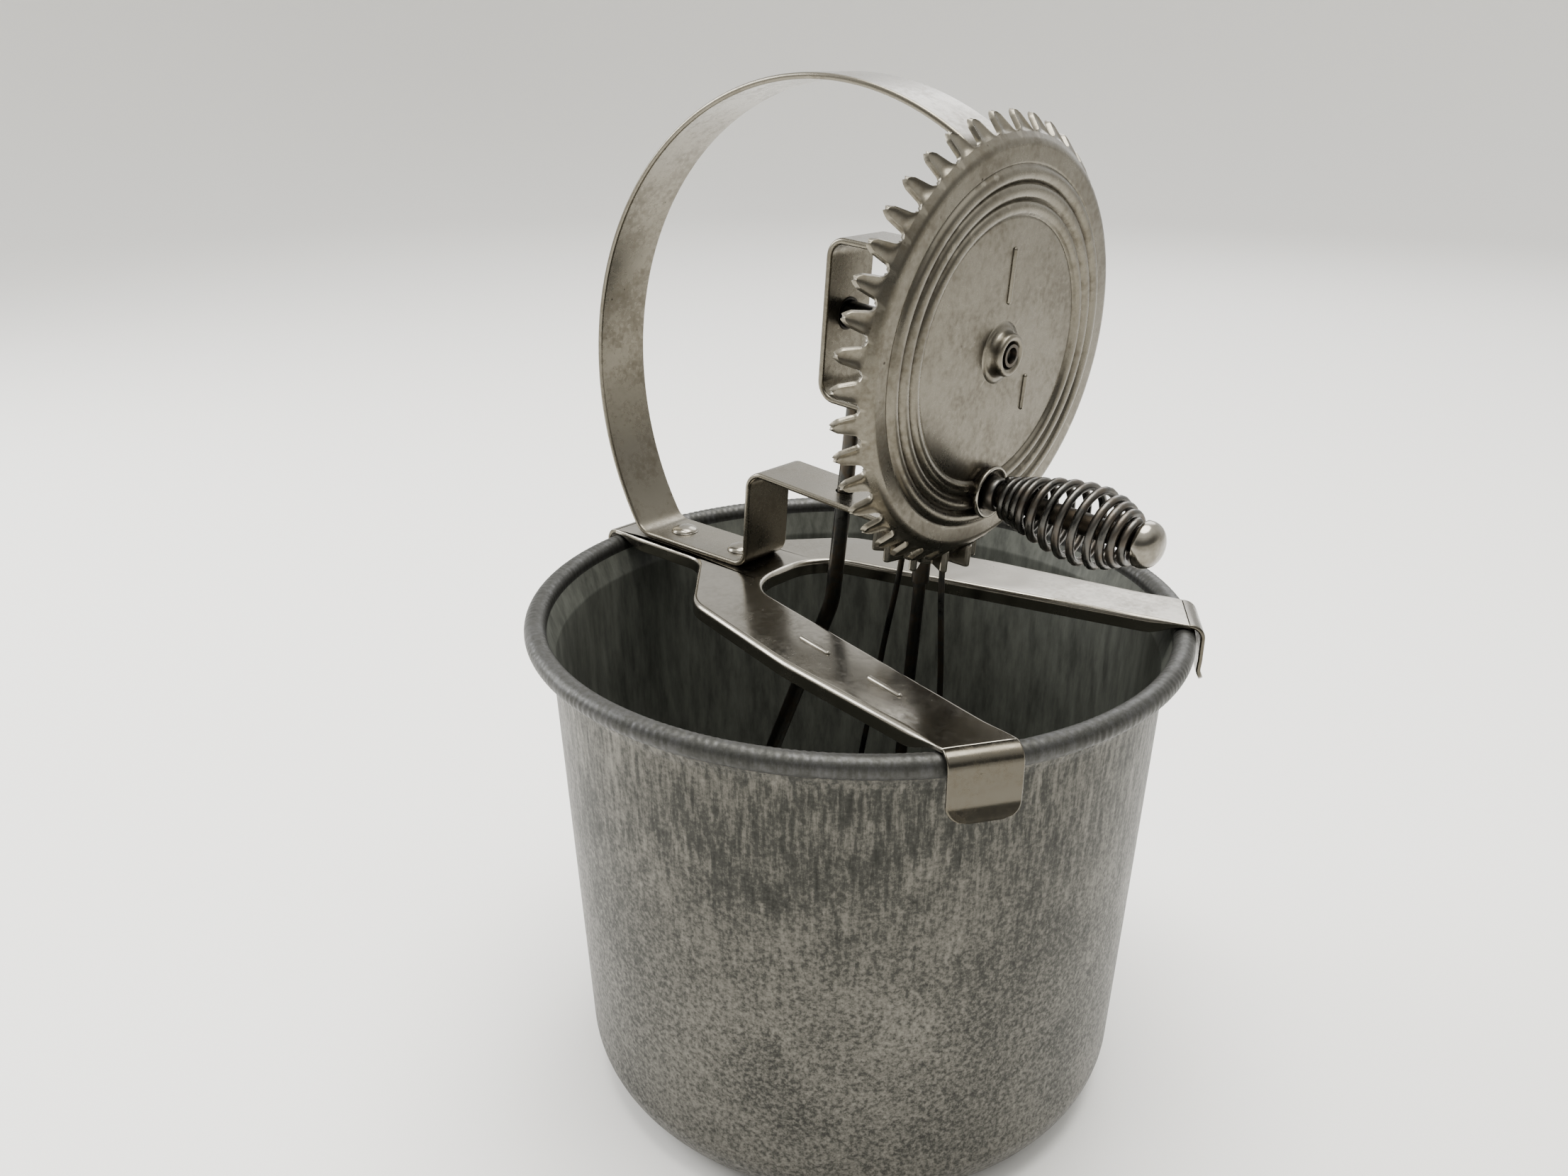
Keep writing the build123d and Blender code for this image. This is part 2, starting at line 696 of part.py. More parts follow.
def dasher_wires(bottom):
    """Two bowed wires, set in the pinion above and in the ferrule below, as one group."""
    wires = []
    for turn in (0, 180):
        upper = Spline(
            (dasher_top_radius, 0, bottom + wire_seat - seat_gap),
            (dasher_neck_radius, 0, dasher_neck_v),
            (dasher_belly_radius, 0, dasher_belly_v),
            tangents=[(0, 0, -1), (0, 0, -1)],
        )
        drop = dasher_belly_v - dasher_end_v
        lower = Bezier(
            (dasher_belly_radius, 0, dasher_belly_v),
            (dasher_belly_radius, 0, dasher_belly_v - drop * 0.6),
            (dasher_belly_radius * 0.8, 0, dasher_end_v),
            (ferrule_radius - 0.9, 0, dasher_end_v),
        )
        path = Wire([upper.edge(), lower.edge()])
        section = Plane(origin=path @ 0, z_dir=path % 0) * Circle(dasher_wire / 2)
        wires.append(Rot(0, 0, turn) * sweep(section, path))
    return Part() + wires


def at_shaft(shape):
    return TO_MECHANISM * Pos(shaft_u, 0, 0) * shape


os.makedirs("parts", exist_ok=True)
make_pot()
make_yoke()
make_strap_frame()
make_rear_bracket()
make_foot_rivets()
make_stay()
make_drive_wheel()
make_axle()
make_crank()
make_grip()
make_dasher()
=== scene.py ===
"""Looks of a hand-cranked dasher mixer on a spun metal pot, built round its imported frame.

Lengths are in metres. The mechanism leans a little: its own axes are AXLE (along the wheel's axle,
towards the crank), ACROSS and SHAFT (up the dasher's shaft), measured from the pot's axis at the
height of the rim.
"""

import json
import math

import bmesh
import bpy
from bpy.props import FloatProperty, FloatVectorProperty, IntProperty, PointerProperty
from bpy.types import Operator, Panel, PropertyGroup
from mathutils import Matrix, Vector, noise
from mathutils.geometry import tessellate_polygon


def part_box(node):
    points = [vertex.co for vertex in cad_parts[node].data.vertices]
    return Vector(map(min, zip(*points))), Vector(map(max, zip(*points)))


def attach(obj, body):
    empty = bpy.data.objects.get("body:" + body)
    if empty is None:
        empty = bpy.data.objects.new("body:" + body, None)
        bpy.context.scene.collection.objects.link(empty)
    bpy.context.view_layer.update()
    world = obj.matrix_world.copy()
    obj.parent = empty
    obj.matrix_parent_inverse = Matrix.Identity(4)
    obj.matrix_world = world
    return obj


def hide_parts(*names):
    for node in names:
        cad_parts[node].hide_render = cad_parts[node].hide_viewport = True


bl_info = {
    "name": "Dasher mixer",
    "version": (1, 0, 0),
    "blender": (4, 5, 0),
    "location": "3D View > Sidebar > Mixer",
    "description": "Builds the visible pieces of a hand-cranked dasher mixer round its packed frame",
    "category": "Add Mesh",
}

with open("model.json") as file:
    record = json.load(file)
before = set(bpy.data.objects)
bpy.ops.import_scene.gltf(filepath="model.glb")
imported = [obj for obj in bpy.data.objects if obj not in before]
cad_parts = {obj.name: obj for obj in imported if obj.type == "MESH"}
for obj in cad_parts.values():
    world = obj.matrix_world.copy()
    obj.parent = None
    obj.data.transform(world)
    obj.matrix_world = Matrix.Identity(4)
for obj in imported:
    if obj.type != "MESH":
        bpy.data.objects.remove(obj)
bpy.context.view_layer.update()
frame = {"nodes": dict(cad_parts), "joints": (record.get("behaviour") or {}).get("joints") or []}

MM = 0.001
TAU = 2 * math.pi


# ---------------------------------------------------------------- places taken from the frame
def joint(name):
    return next(j for j in frame["joints"] if j["name"] == name)


def leaning(origin):
    """The mechanism's axes as a matrix, standing at a point."""
    columns = Matrix((AXLE, ACROSS, SHAFT)).transposed()
    return Matrix.Translation(origin) @ columns.to_4x4()


AXLE = Vector(joint("wheel_spin")["axis"])
SHAFT = Vector(joint("dasher_spin")["axis"])
ACROSS = Vector((0, 1, 0))
RIM = Vector((0, 0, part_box("pot")[1].z))
POT_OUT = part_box("pot")[1].x
AT_RIM = Matrix.Translation(RIM)
AT_MECHANISM = leaning(RIM)
AT_AXLE = leaning(Vector(joint("wheel_spin")["pos_m"]))
AT_SHAFT = leaning(Vector(joint("dasher_spin")["pos_m"]))
CRANK_DROP = (Vector(joint("grip_spin")["pos_m"]) - Vector(joint("wheel_spin")["pos_m"])).dot(SHAFT)
AT_CRANK = AT_AXLE @ Matrix.Translation((0, 0, CRANK_DROP))


# ---------------------------------------------------------------- colours
def linear(code):
    """A six-digit sRGB hex colour as three linear values."""
    values = [int(code[i : i + 2], 16) / 255 for i in (0, 2, 4)]
    return [v / 12.92 if v <= 0.04045 else ((v + 0.055) / 1.055) ** 2.4 for v in values]


def length(name, millimetres, description):
    return FloatProperty(
        name=name, description=description, default=millimetres * MM, min=0.0, unit="LENGTH", precision=5
    )


def place(name, millimetres, description):
    return FloatProperty(
        name=name, description=description, default=millimetres * MM, unit="LENGTH", precision=5
    )


def point(name, first, second, description):
    return FloatVectorProperty(
        name=name, description=description, default=(first * MM, second * MM), size=2, unit="LENGTH",
        precision=5,
    )


def colour(name, code, description):
    return FloatVectorProperty(
        name=name, description=description, default=linear(code), size=3, min=0.0, max=1.0,
        subtype="COLOR",
    )


class PotSizes(PropertyGroup):
    top_radius: length("Wall at the neck", 61.0, "Outer radius of the pot's wall under its neck")
    base_radius: length("Wall at the base", 57.5, "Outer radius of the pot's wall at its base")
    corner: length("Base corner", 12.5, "Radius of the rounded corner round the base")
    sheet: length("Sheet", 0.8, "Thickness of the pot's sheet")
    neck: length("Neck", 8.0, "Height of the neck, from under the wall's flare to the rim's top")
    bead: length("Rim bead", 4.3, "Size across the rolled rim bead")
    crinkle: length("Crinkle depth", 0.13, "Depth of the fine wrinkles across the rolled bead")
    crinkles: IntProperty(name="Crinkles", description="Wrinkles round the rim", default=270, min=8)
    dashes: IntProperty(name="Dashes", description="Roller marks round the neck", default=180, min=8)


class YokeSizes(PropertyGroup):
    sheet: length("Sheet", 0.9, "Thickness of the yoke's sheet")
    lift: length("Lift", 0.2, "Gap between the bead's top and the yoke")
    flange: length("Flange", 3.2, "Depth of the turned-down edge")
    edge: length("Edge radius", 1.1, "Radius of the turned edge, seen from outside")
    stem_width: length("Stem width", 15.6, "Width of the stem that the handle is riveted to")
    stem_end: place("Stem end", -37.0, "Where the stem starts to widen, from the pot's axis")
    stem_corner: length("Stem corner", 9.0, "Radius of the edge where the stem widens")
    shoulder: point("Shoulder", -21.5, 25.2, "Widest corner between the stem and an arm")
    shoulder_corner: length("Shoulder corner", 12.0, "Radius of the shoulder")
    flank: point("Flank", 10.4, 33.8, "Corner on an arm's outer edge")
    flank_corner: length("Flank corner", 60.0, "Radius of the arm's outer edge")
    crotch: point("Crotch", -19.5, 10.6, "Corner between the arms")
    crotch_corner: length("Crotch corner", 10.4, "Radius of the corner between the arms")
    tongue_width: length("Tongue width", 13.0, "Width of each spring tongue")
    tongue_length: length("Tongue length", 9.0, "Length of a tongue below its bend")
    tongue_lip: length("Tongue lip", 0.9, "How far the tongue's end kicks out")
    tongue_bend: length("Tongue bend", 2.45, "Radius of the fold over the bead")
    tongue_corner: length("Tongue corner", 3.2, "Radius of the corners at the tongue's end")
    hook_gap: length("Hook gap", 0.45, "Gap between the bead and a tongue")
    side_gap: length("Pinch gap", 0.3, "Gap between the bead and a tongue at its pinch")
    arm_angle: FloatProperty(
        name="Arm angle", description="Angle of each arm from the stem's line", default=math.radians(33),
        subtype="ANGLE",
    )


class StripSizes(PropertyGroup):
    width: length("Width", 12.7, "Width of the strip stock")
    sheet: length("Sheet", 1.2, "Thickness of the strip stock")
    bend: length("Bend", 2.6, "Inner radius of the strip's bends")
    ring_radius: length("Ring radius", 61.4, "Outer radius of the handle ring")
    ring_centre: point("Ring centre", -7.7, 37.0, "Middle of the handle ring, from the rim's middle")
    ring_end_bend: length("Ring end bend", 5.0, "Bend where the ring meets the upright")
    foot_bend: length("Foot bend", 4.0, "Bend where the ring meets the foot")
    leg: place("Leg", -24.9, "Place of the short leg's face along the axle")
    shelf: place("Shelf", 21.4, "Height of the bearing shelf's top")
    upright: place("Upright", 20.6, "Place of the upright's front face along the axle")
    rear: place("Rear leg", -7.6, "Place of the rear bracket's inner face along the axle")
    rear_top: place("Rear top", 70.9, "Height of the rear bracket's top")
    rear_bottom: place("Rear bottom", 40.4, "Height of the rear bracket's underside")
    rivets: point("Rivets", -49.6, -32.1, "Places of the two foot rivets along the stem")
    rivet_head: length("Rivet head", 3.0, "Radius of a rivet's head")
    rivet_rise: length("Rivet rise", 1.3, "Height of a rivet's dome")


class StaySizes(PropertyGroup):
    radius: length("Radius", 1.6, "Radius of the rod")
    hole: length("Hole", 1.9, "Radius of the hole through the shelf")
    top: point("Top", -4.2, 41.6, "Place and height of the rod's upper end")
    bend: point("Bend", -6.0, -3.0, "Corner where the rod leaves the shaft's line")
    knee: point("Knee", -22.0, -52.0, "Corner where the rod runs down beside the dasher")
    heel: point("Heel", -22.0, -98.0, "Corner where the rod turns under the dasher")
    toe: place("Toe", 11.4, "Place of the rod's lower end along the axle")
    knee_radius: length("Knee radius", 20.0, "Radius of the two upper bends")
    heel_radius: length("Heel radius", 18.0, "Radius of the lowest bend")


class WheelSizes(PropertyGroup):
    teeth: IntProperty(name="Fingers", description="Bent fingers round the wheel", default=42, min=8)
    face: place("Face", 26.2, "Place of the wheel's front face along the axle")
    sheet: length("Sheet", 0.9, "Thickness of the wheel's sheet")
    bore: length("Bore", 2.0, "Radius of the hole round the axle's spigot")
    flat_radius: length("Flat radius", 34.4, "Radius where the fingers are bent back")
    tip_radius: length("Tip radius", 38.6, "Radius over the fingers' tips")
    root_width: length("Finger root", 3.3, "Width of a finger at its root")
    tip_width: length("Finger tip", 1.5, "Width of a finger at its tip")
    gullet: length("Gullet radius", 1.0, "Radius of the round gullets between the fingers")
    gullet_start: length("Gullet start", 1.9, "Where the gullets start, down the slant from the flat's edge")
    trough: length("Finger trough", 0.42, "How far a finger's edges stand out from its middle")
    phase: FloatProperty(
        name="Finger phase", description="Turn of the first finger from the top",
        default=math.radians(2.83), subtype="ANGLE",
    )
    bead_rise: length("Bead rise", 0.75, "Height of the pressed rings")
    beads: FloatVectorProperty(
        name="Bead lines", description="Radii of the grooves between the pressed rings",
        default=(31.0 * MM, 28.3 * MM, 25.5 * MM, 22.9 * MM), size=4, unit="LENGTH", precision=5,
    )


class GripSizes(PropertyGroup):
    collar_length: length("Collar", 4.0, "Length of the flared collar with its neck")
    collar_radius: length("Collar radius", 4.8, "Radius of the collar's lip")
    neck_radius: length("Neck radius", 3.1, "Radius of the collar's neck")
    gap: length("End gap", 0.3, "Gap at each end of the coil grip")
    coil_length: length("Coil length", 27.0, "Length of the coil grip")
    wire: length("Wire", 1.5, "Thickness of the grip's wire")
    start_radius: length("Start radius", 3.9, "Radius over the coils by the wheel")
    widest_radius: length("Widest radius", 7.3, "Radius over the widest coils")
    end_radius: length("End radius", 4.3, "Radius over the coils by the cap")
    widest_share: FloatProperty(
        name="Widest place", description="Place of the widest coils along the grip", default=0.68,
        min=0.1, max=0.9, subtype="FACTOR",
    )
    first_turns: IntProperty(name="First turns", description="Close coils by the wheel", default=4)
    open_turns: IntProperty(name="Open turns", description="Open coils in the middle", default=5)
    last_turns: IntProperty(name="Last turns", description="Close coils by the cap", default=3)
    cap_radius: length("Cap radius", 4.1, "Radius of the domed end cap")
    cap_length: length("Cap length", 3.8, "Length of the domed end cap")


class DasherSizes(PropertyGroup):
    teeth: IntProperty(name="Pinion teeth", description="Teeth of the pinion", default=10, min=4)
    tip_radius: length("Tip radius", 9.8, "Radius over the pinion's teeth")
    root_radius: length("Root radius", 5.5, "Radius of the pinion between its teeth")
    pinion_height: length("Pinion height", 4.6, "Height of the pinion")
    tooth_width: length("Tooth width", 1.5, "Thickness of a pinion tooth")
    wire: length("Wire", 1.2, "Thickness of the dasher's wires")
    top_radius: length("Wires at the pinion", 4.6, "Distance of the wires from the shaft at the pinion")
    neck_radius: length("Wires at the rim", 7.3, "Distance of the wires from the shaft at the rim")
    belly_radius: length("Wires at the belly", 11.5, "Widest distance of the wires from the shaft")
    neck_v: place("Neck height", -10.0, "Height where the wires pass the rim")
    belly_v: place("Belly height", -60.0, "Height where the wires are widest")
    end_v: place("Ferrule height", -90.0, "Height of the ferrule's middle")
    ferrule_radius: length("Ferrule radius", 2.8, "Radius of the ferrule")


class StageSizes(PropertyGroup):
    lens: FloatProperty(
        name="Lens", description="Focal length on a 36 mm wide sensor", default=29.88, min=1.0,
        unit="CAMERA",
    )
    azimuth: FloatProperty(
        name="Azimuth", description="Turn of the camera about the vertical, from looking along +Y",
        default=math.radians(42.25), subtype="ANGLE",
    )
    elevation: FloatProperty(
        name="Elevation", description="Height of the camera's view above the horizon",
        default=math.radians(22.32), subtype="ANGLE",
    )
    eye: FloatVectorProperty(
        name="Eye", description="Camera's place from the middle of the rim",
        default=(152.0 * MM, -188.6 * MM, 101.3 * MM), size=3, subtype="TRANSLATION", unit="LENGTH",
    )
    roll: FloatProperty(
        name="Roll", description="Turn of the camera about its view", default=math.radians(0.12),
        subtype="ANGLE",
    )
    floor_radius: FloatProperty(
        name="Floor radius", description="Radius of the flat floor", default=1.6, min=0.5, unit="LENGTH",
    )
    aim_height: length("Aim height", 100.0, "Height that the lamps are aimed at")
    curve: FloatProperty(
        name="Curve", description="Radius of the curve up to the wall", default=0.3, unit="LENGTH",
    )


class MixerColours(PropertyGroup):
    nickel: colour("Nickel", "69655B", "Worn nickel plate of the strip and the wheel")
    tarnish: colour("Tarnish", "4E483D", "Brown film on the nickel plate")
    bright: colour("Bright nickel", "827E75", "Cleaner nickel plate of the yoke")
    # A brown for real dirt that is also used as painted shade: the plated finish mixes it into corners found
    # by ambient occlusion.
    grime_and_shade: colour("Grime", "2C261E", "Brown grime in the corners of the plated pieces")
    steel: colour("Drawn steel", "434341", "Darkened drawn steel of the rods")
    spring: colour("Spring steel", "52514E", "Oil-darkened spring wire")
    tin: colour("Tinned sheet", "55534D", "Dulled tin on the pot's outside")
    tin_dark: colour("Dull tin", "353531", "Dark grains in the dulled tin")
    rim: colour("Rim", "444444", "Handled tin on the rolled rim")
    inside: colour("Pot inside", "4F514B", "Blackened tin on the pot's inside")
    grease: colour("Old grease", "2A2722", "Dried grease round the bearings")
    floor: colour("Floor", "EAE9E6", "Pale paper of the plain floor")


# ---------------------------------------------------------------- mesh making
def make_object(name, verts, faces, matrix=None):
    mesh = bpy.data.meshes.new(name)
    mesh.from_pydata([tuple(v) for v in verts], [], faces)
    if matrix is not None:
        mesh.transform(matrix)
    mesh.validate()
    mesh.shade_smooth()
    piece = bpy.data.objects.new(name, mesh)
    bpy.context.scene.collection.objects.link(piece)
    return piece


def grid_faces(outer, inner, wrap_outer=False, wrap_inner=False, flip=False, base=0):
    """Quads between neighbouring points of a grid: outer rows of inner points each."""
    faces = []
    for i in range(outer if wrap_outer else outer - 1):
        here, beyond = base + i * inner, base + (i + 1) % outer * inner
        for k in range(inner if wrap_inner else inner - 1):
            m = (k + 1) % inner
            quad = (here + k, beyond + k, beyond + m, here + m)
            faces.append((quad[0], quad[3], quad[2], quad[1]) if flip else quad)
    return faces


def end_faces(outer, inner):
    """One face over the first row of a grid and one over its last."""
    last = (outer - 1) * inner
    return [tuple(range(inner))[::-1], tuple(range(last, last + inner))]


def spoke(angle, radius=1.0):
    """A 2-D point at an angle and a radius."""
    return Vector((math.cos(angle), math.sin(angle))) * radius


def bezier(a, b, c, d, share):
    """A point on a cubic curve."""
    left = 1 - share
    return a * left**3 + b * 3 * share * left**2 + c * 3 * share**2 * left + d * share**3


def in_mm(points, along=0.0):
    """An outline written as (radius, along) in millimetres, moved along."""
    return [(r * MM, along + a * MM) for r, a in points]


def arc(centre, radius, first, last, count):
    """Points on an arc between two angles in degrees."""
    angles = [math.radians(first + (last - first) * k / count) for k in range(count + 1)]
    return [centre + spoke(a, radius) for a in angles]


def weld(piece, distance=0.002 * MM):
    """Joins points that meet and turns every face outwards."""
    bm = bmesh.new()
    bm.from_mesh(piece.data)
    bmesh.ops.remove_doubles(bm, verts=bm.verts, dist=distance)
    bmesh.ops.recalc_face_normals(bm, faces=bm.faces)
    bm.to_mesh(piece.data)
    bm.free()


def lathe(name, profile, matrix=None, segments=128, closed=True, wobble=None, axis="SHAFT"):
    """A surface turned about a local axis from (radius, along) points."""
    verts = []
    for i in range(segments):
        a = TAU * i / segments
        for r, along in profile:
            if wobble:
                r, along = wobble(r, along, a)
            if axis == "AXLE":
                verts.append((along, r * math.sin(a), r * math.cos(a)))
            else:
                verts.append((r * math.cos(a), r * math.sin(a), along))
    piece = make_object(name, verts, grid_faces(segments, len(profile), True, closed), matrix)
    weld(piece)
    return piece


def rounded(corners, radii, closed=False, step=math.radians(9)):
    """A path through corners, each rounded by its own radius with an arc."""
    points = []
    n = len(corners)
    for i, (corner, radius) in enumerate(zip(corners, radii)):
        here = Vector(corner)
        if not closed and i in (0, n - 1) or radius == 0:
            points.append(here)
            continue
        before = (Vector(corners[i - 1]) - here).normalized()
        after = (Vector(corners[(i + 1) % n]) - here).normalized()
        turn = math.pi - before.angle(after)
        reach = radius * math.tan(turn / 2)
        centre = here + (before + after).normalized() * (radius / math.cos(turn / 2))
        first = here + before * reach - centre
        last = here + after * reach - centre
        count = max(2, round(turn / step))
        for k in range(count + 1):
            share = k / count
            if len(first) == 3:
                points.append(centre + first.slerp(last, share).normalized() * first.length)
            else:
                points.append(centre + turn_between(first, last, share))
    return points


def turn_between(first, last, share):
    """A 2-D spoke turned part of the way from one spoke to another."""
    a = math.atan2(first.y, first.x)
    b = math.atan2(last.y, last.x)
    swing = (b - a + math.pi) % TAU - math.pi
    return spoke(a + swing * share, first.length)


def fill_steps(points, step, closed=False):
    """Adds points along the long straight runs of a path."""
    out = []
    ends = points[1:] + points[:1] if closed else points[1:]
    for a, b in zip(points, ends):
        count = max(1, math.ceil((b - a).length / step))
        out += [a.lerp(b, k / count) for k in range(count)]
    if not closed:
        out.append(points[-1])
    return out


def strip_section(width, sheet, edge):
    """The strip's cross-section as (out, across) points, with rolled edges."""
    points = []
    for sx, sy, start in ((1, 1, 0), (-1, 1, 90), (-1, -1, 180), (1, -1, 270)):
        for k in range(4):
            a = math.radians(start + 30 * k)
            x = sx * (sheet / 2 - edge) + edge * math.cos(a)
            y = sy * (width / 2 - edge) + edge * math.sin(a)
            points.append((x, y))
    return points


def strip(name, path, width, sheet, matrix, closed=False, narrow=None):
    """Sheet strip bent along a path of (x, z) points; narrow gives the width at a share of it."""
    edge = sheet * 0.42
    verts = []
    n = len(path)
    total = sum((b - a).length for a, b in zip(path, path[1:]))
    gone = 0.0
    for i, here in enumerate(path):
        before = path[i - 1] if i or closed else here
        after = path[(i + 1) % n] if i < n - 1 or closed else here
        ahead = (after - before).normalized()
        out = Vector((ahead.y, -ahead.x))
        if i:
            gone += (here - path[i - 1]).length
        wide = narrow(gone / total) * width if narrow else width
        section = strip_section(wide, sheet, edge)
        for x, y in section:
            spot = here + out * x
            verts.append((spot.x, y, spot.y))
    faces = grid_faces(n, len(section), closed, True)
    if not closed:
        faces += end_faces(n, len(section))
    piece = make_object(name, verts, faces, matrix)
    weld(piece)
    return piece


def tube(name, path, radius, matrix, sides=20):
    """A round wire along a path, with rounded ends."""
    ahead = (path[1] - path[0]).normalized()
    side = ahead.orthogonal().normalized()
    rings = []
    n = len(path)
    for i, here in enumerate(path):
        new = (path[min(i + 1, n - 1)] - path[max(i - 1, 0)]).normalized()
        side = ahead.rotation_difference(new) @ side
        ahead = new
        rings.append((here, ahead, side.normalized(), radius))
    cap = 4
    for end, sign in ((0, -1), (-1, 1)):
        here, forward, across, _ = rings[end]
        extra = []
        for k in range(1, cap + 1):
            a = math.pi / 2 * k / cap
            spot = here + forward * sign * radius * 0.5 * math.sin(a)
            extra.append((spot, forward, across, max(radius * math.cos(a), radius * 0.02)))
        rings = extra[::-1] + rings if end == 0 else rings + extra
    verts = []
    for here, forward, across, r in rings:
        up = forward.cross(across)
        for k in range(sides):
            turn = spoke(TAU * k / sides)
            verts.append(here + (across * turn.x + up * turn.y) * r)
    faces = grid_faces(len(rings), sides, wrap_inner=True, flip=True) + end_faces(len(rings), sides)
    return make_object(name, verts, faces, matrix)


def soften_edges(piece, name, width, segments, angle):
    """Rounds a piece's sharp edges."""
    soft = piece.modifiers.new(name, "BEVEL")
    soft.width = width
    soft.segments = segments
    soft.limit_method = "ANGLE"
    soft.angle_limit = math.radians(angle)


def crisp(piece, angle=35):
    """Keeps flat faces flat beside rounded edges."""
    piece.data.set_sharp_from_angle(angle=math.radians(angle))
    weighted = piece.modifiers.new("flat_faces", "WEIGHTED_NORMAL")
    weighted.keep_sharp = True


def cut(piece, cutter):
    """Cuts one mesh out of another and keeps the result as the piece's own mesh."""
    boolean = piece.modifiers.new("cut", "BOOLEAN")
    boolean.object = cutter
    boolean.solver = "EXACT"
    bpy.context.view_layer.update()
    evaluated = piece.evaluated_get(bpy.context.evaluated_depsgraph_get())
    mesh = bpy.data.meshes.new_from_object(evaluated)
    piece.modifiers.clear()
    piece.data = mesh
    mesh.shade_smooth()
    bpy.data.objects.remove(cutter)


def fit_piece(piece, body, slot, material, *nodes):
    piece.data.materials.clear()
    piece.data.materials.append(material)
    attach(piece, body)
    if nodes:
        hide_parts(*nodes)
    return piece


def dress(node, material):
    """Gives a CAD node its finish."""
    mesh = frame["nodes"][node].data
    mesh.materials.clear()
    mesh.materials.append(material)


# ---------------------------------------------------------------- finishes
MIX_A, MIX_B, MIX_COLOUR = 6, 7, 2  # a Mix node's two colour inputs and its colour output


def add(tree, kind, values=None, ramp=(), **settings):
    """Adds a node with its settings, inputs and colour stops."""
    node = tree.nodes.new("ShaderNode" + kind)
    for name, value in settings.items():
        setattr(node, name, value)
    feed(tree, node, values or {})
    for index, (position, value) in enumerate(ramp):
        stops = node.color_ramp.elements
        stop = stops[index] if index < len(stops) else stops.new(1.0)
        stop.position = position
        stop.color = value
    return node


def feed(tree, node, values):
    """Links each input whose value is a node (its first output) or an output, and sets the others."""
    for name, value in values.items():
        if isinstance(value, bpy.types.Node):
            value = value.outputs[0]
        if isinstance(value, bpy.types.NodeSocket):
            tree.links.new(value, node.inputs[name])
        else:
            node.inputs[name].default_value = value


def per(millimetres):
    """The texture scale whose pattern repeats about once in a real size, on coordinates in metres."""
    return 1.0 / (millimetres * MM)


def opaque(paint, level=1.0):
    """A colour, made lighter or darker, with its alpha."""
    return (*[min(1.0, v * level) for v in paint], 1.0)


def start(name):
    """A new material's nodes, its shader, and the piece's own coordinates."""
    material = bpy.data.materials.new(name)
    material.use_nodes = True
    tree = material.node_tree
    return tree, tree.nodes["Principled BSDF"], add(tree, "TexCoord").outputs["Object"]


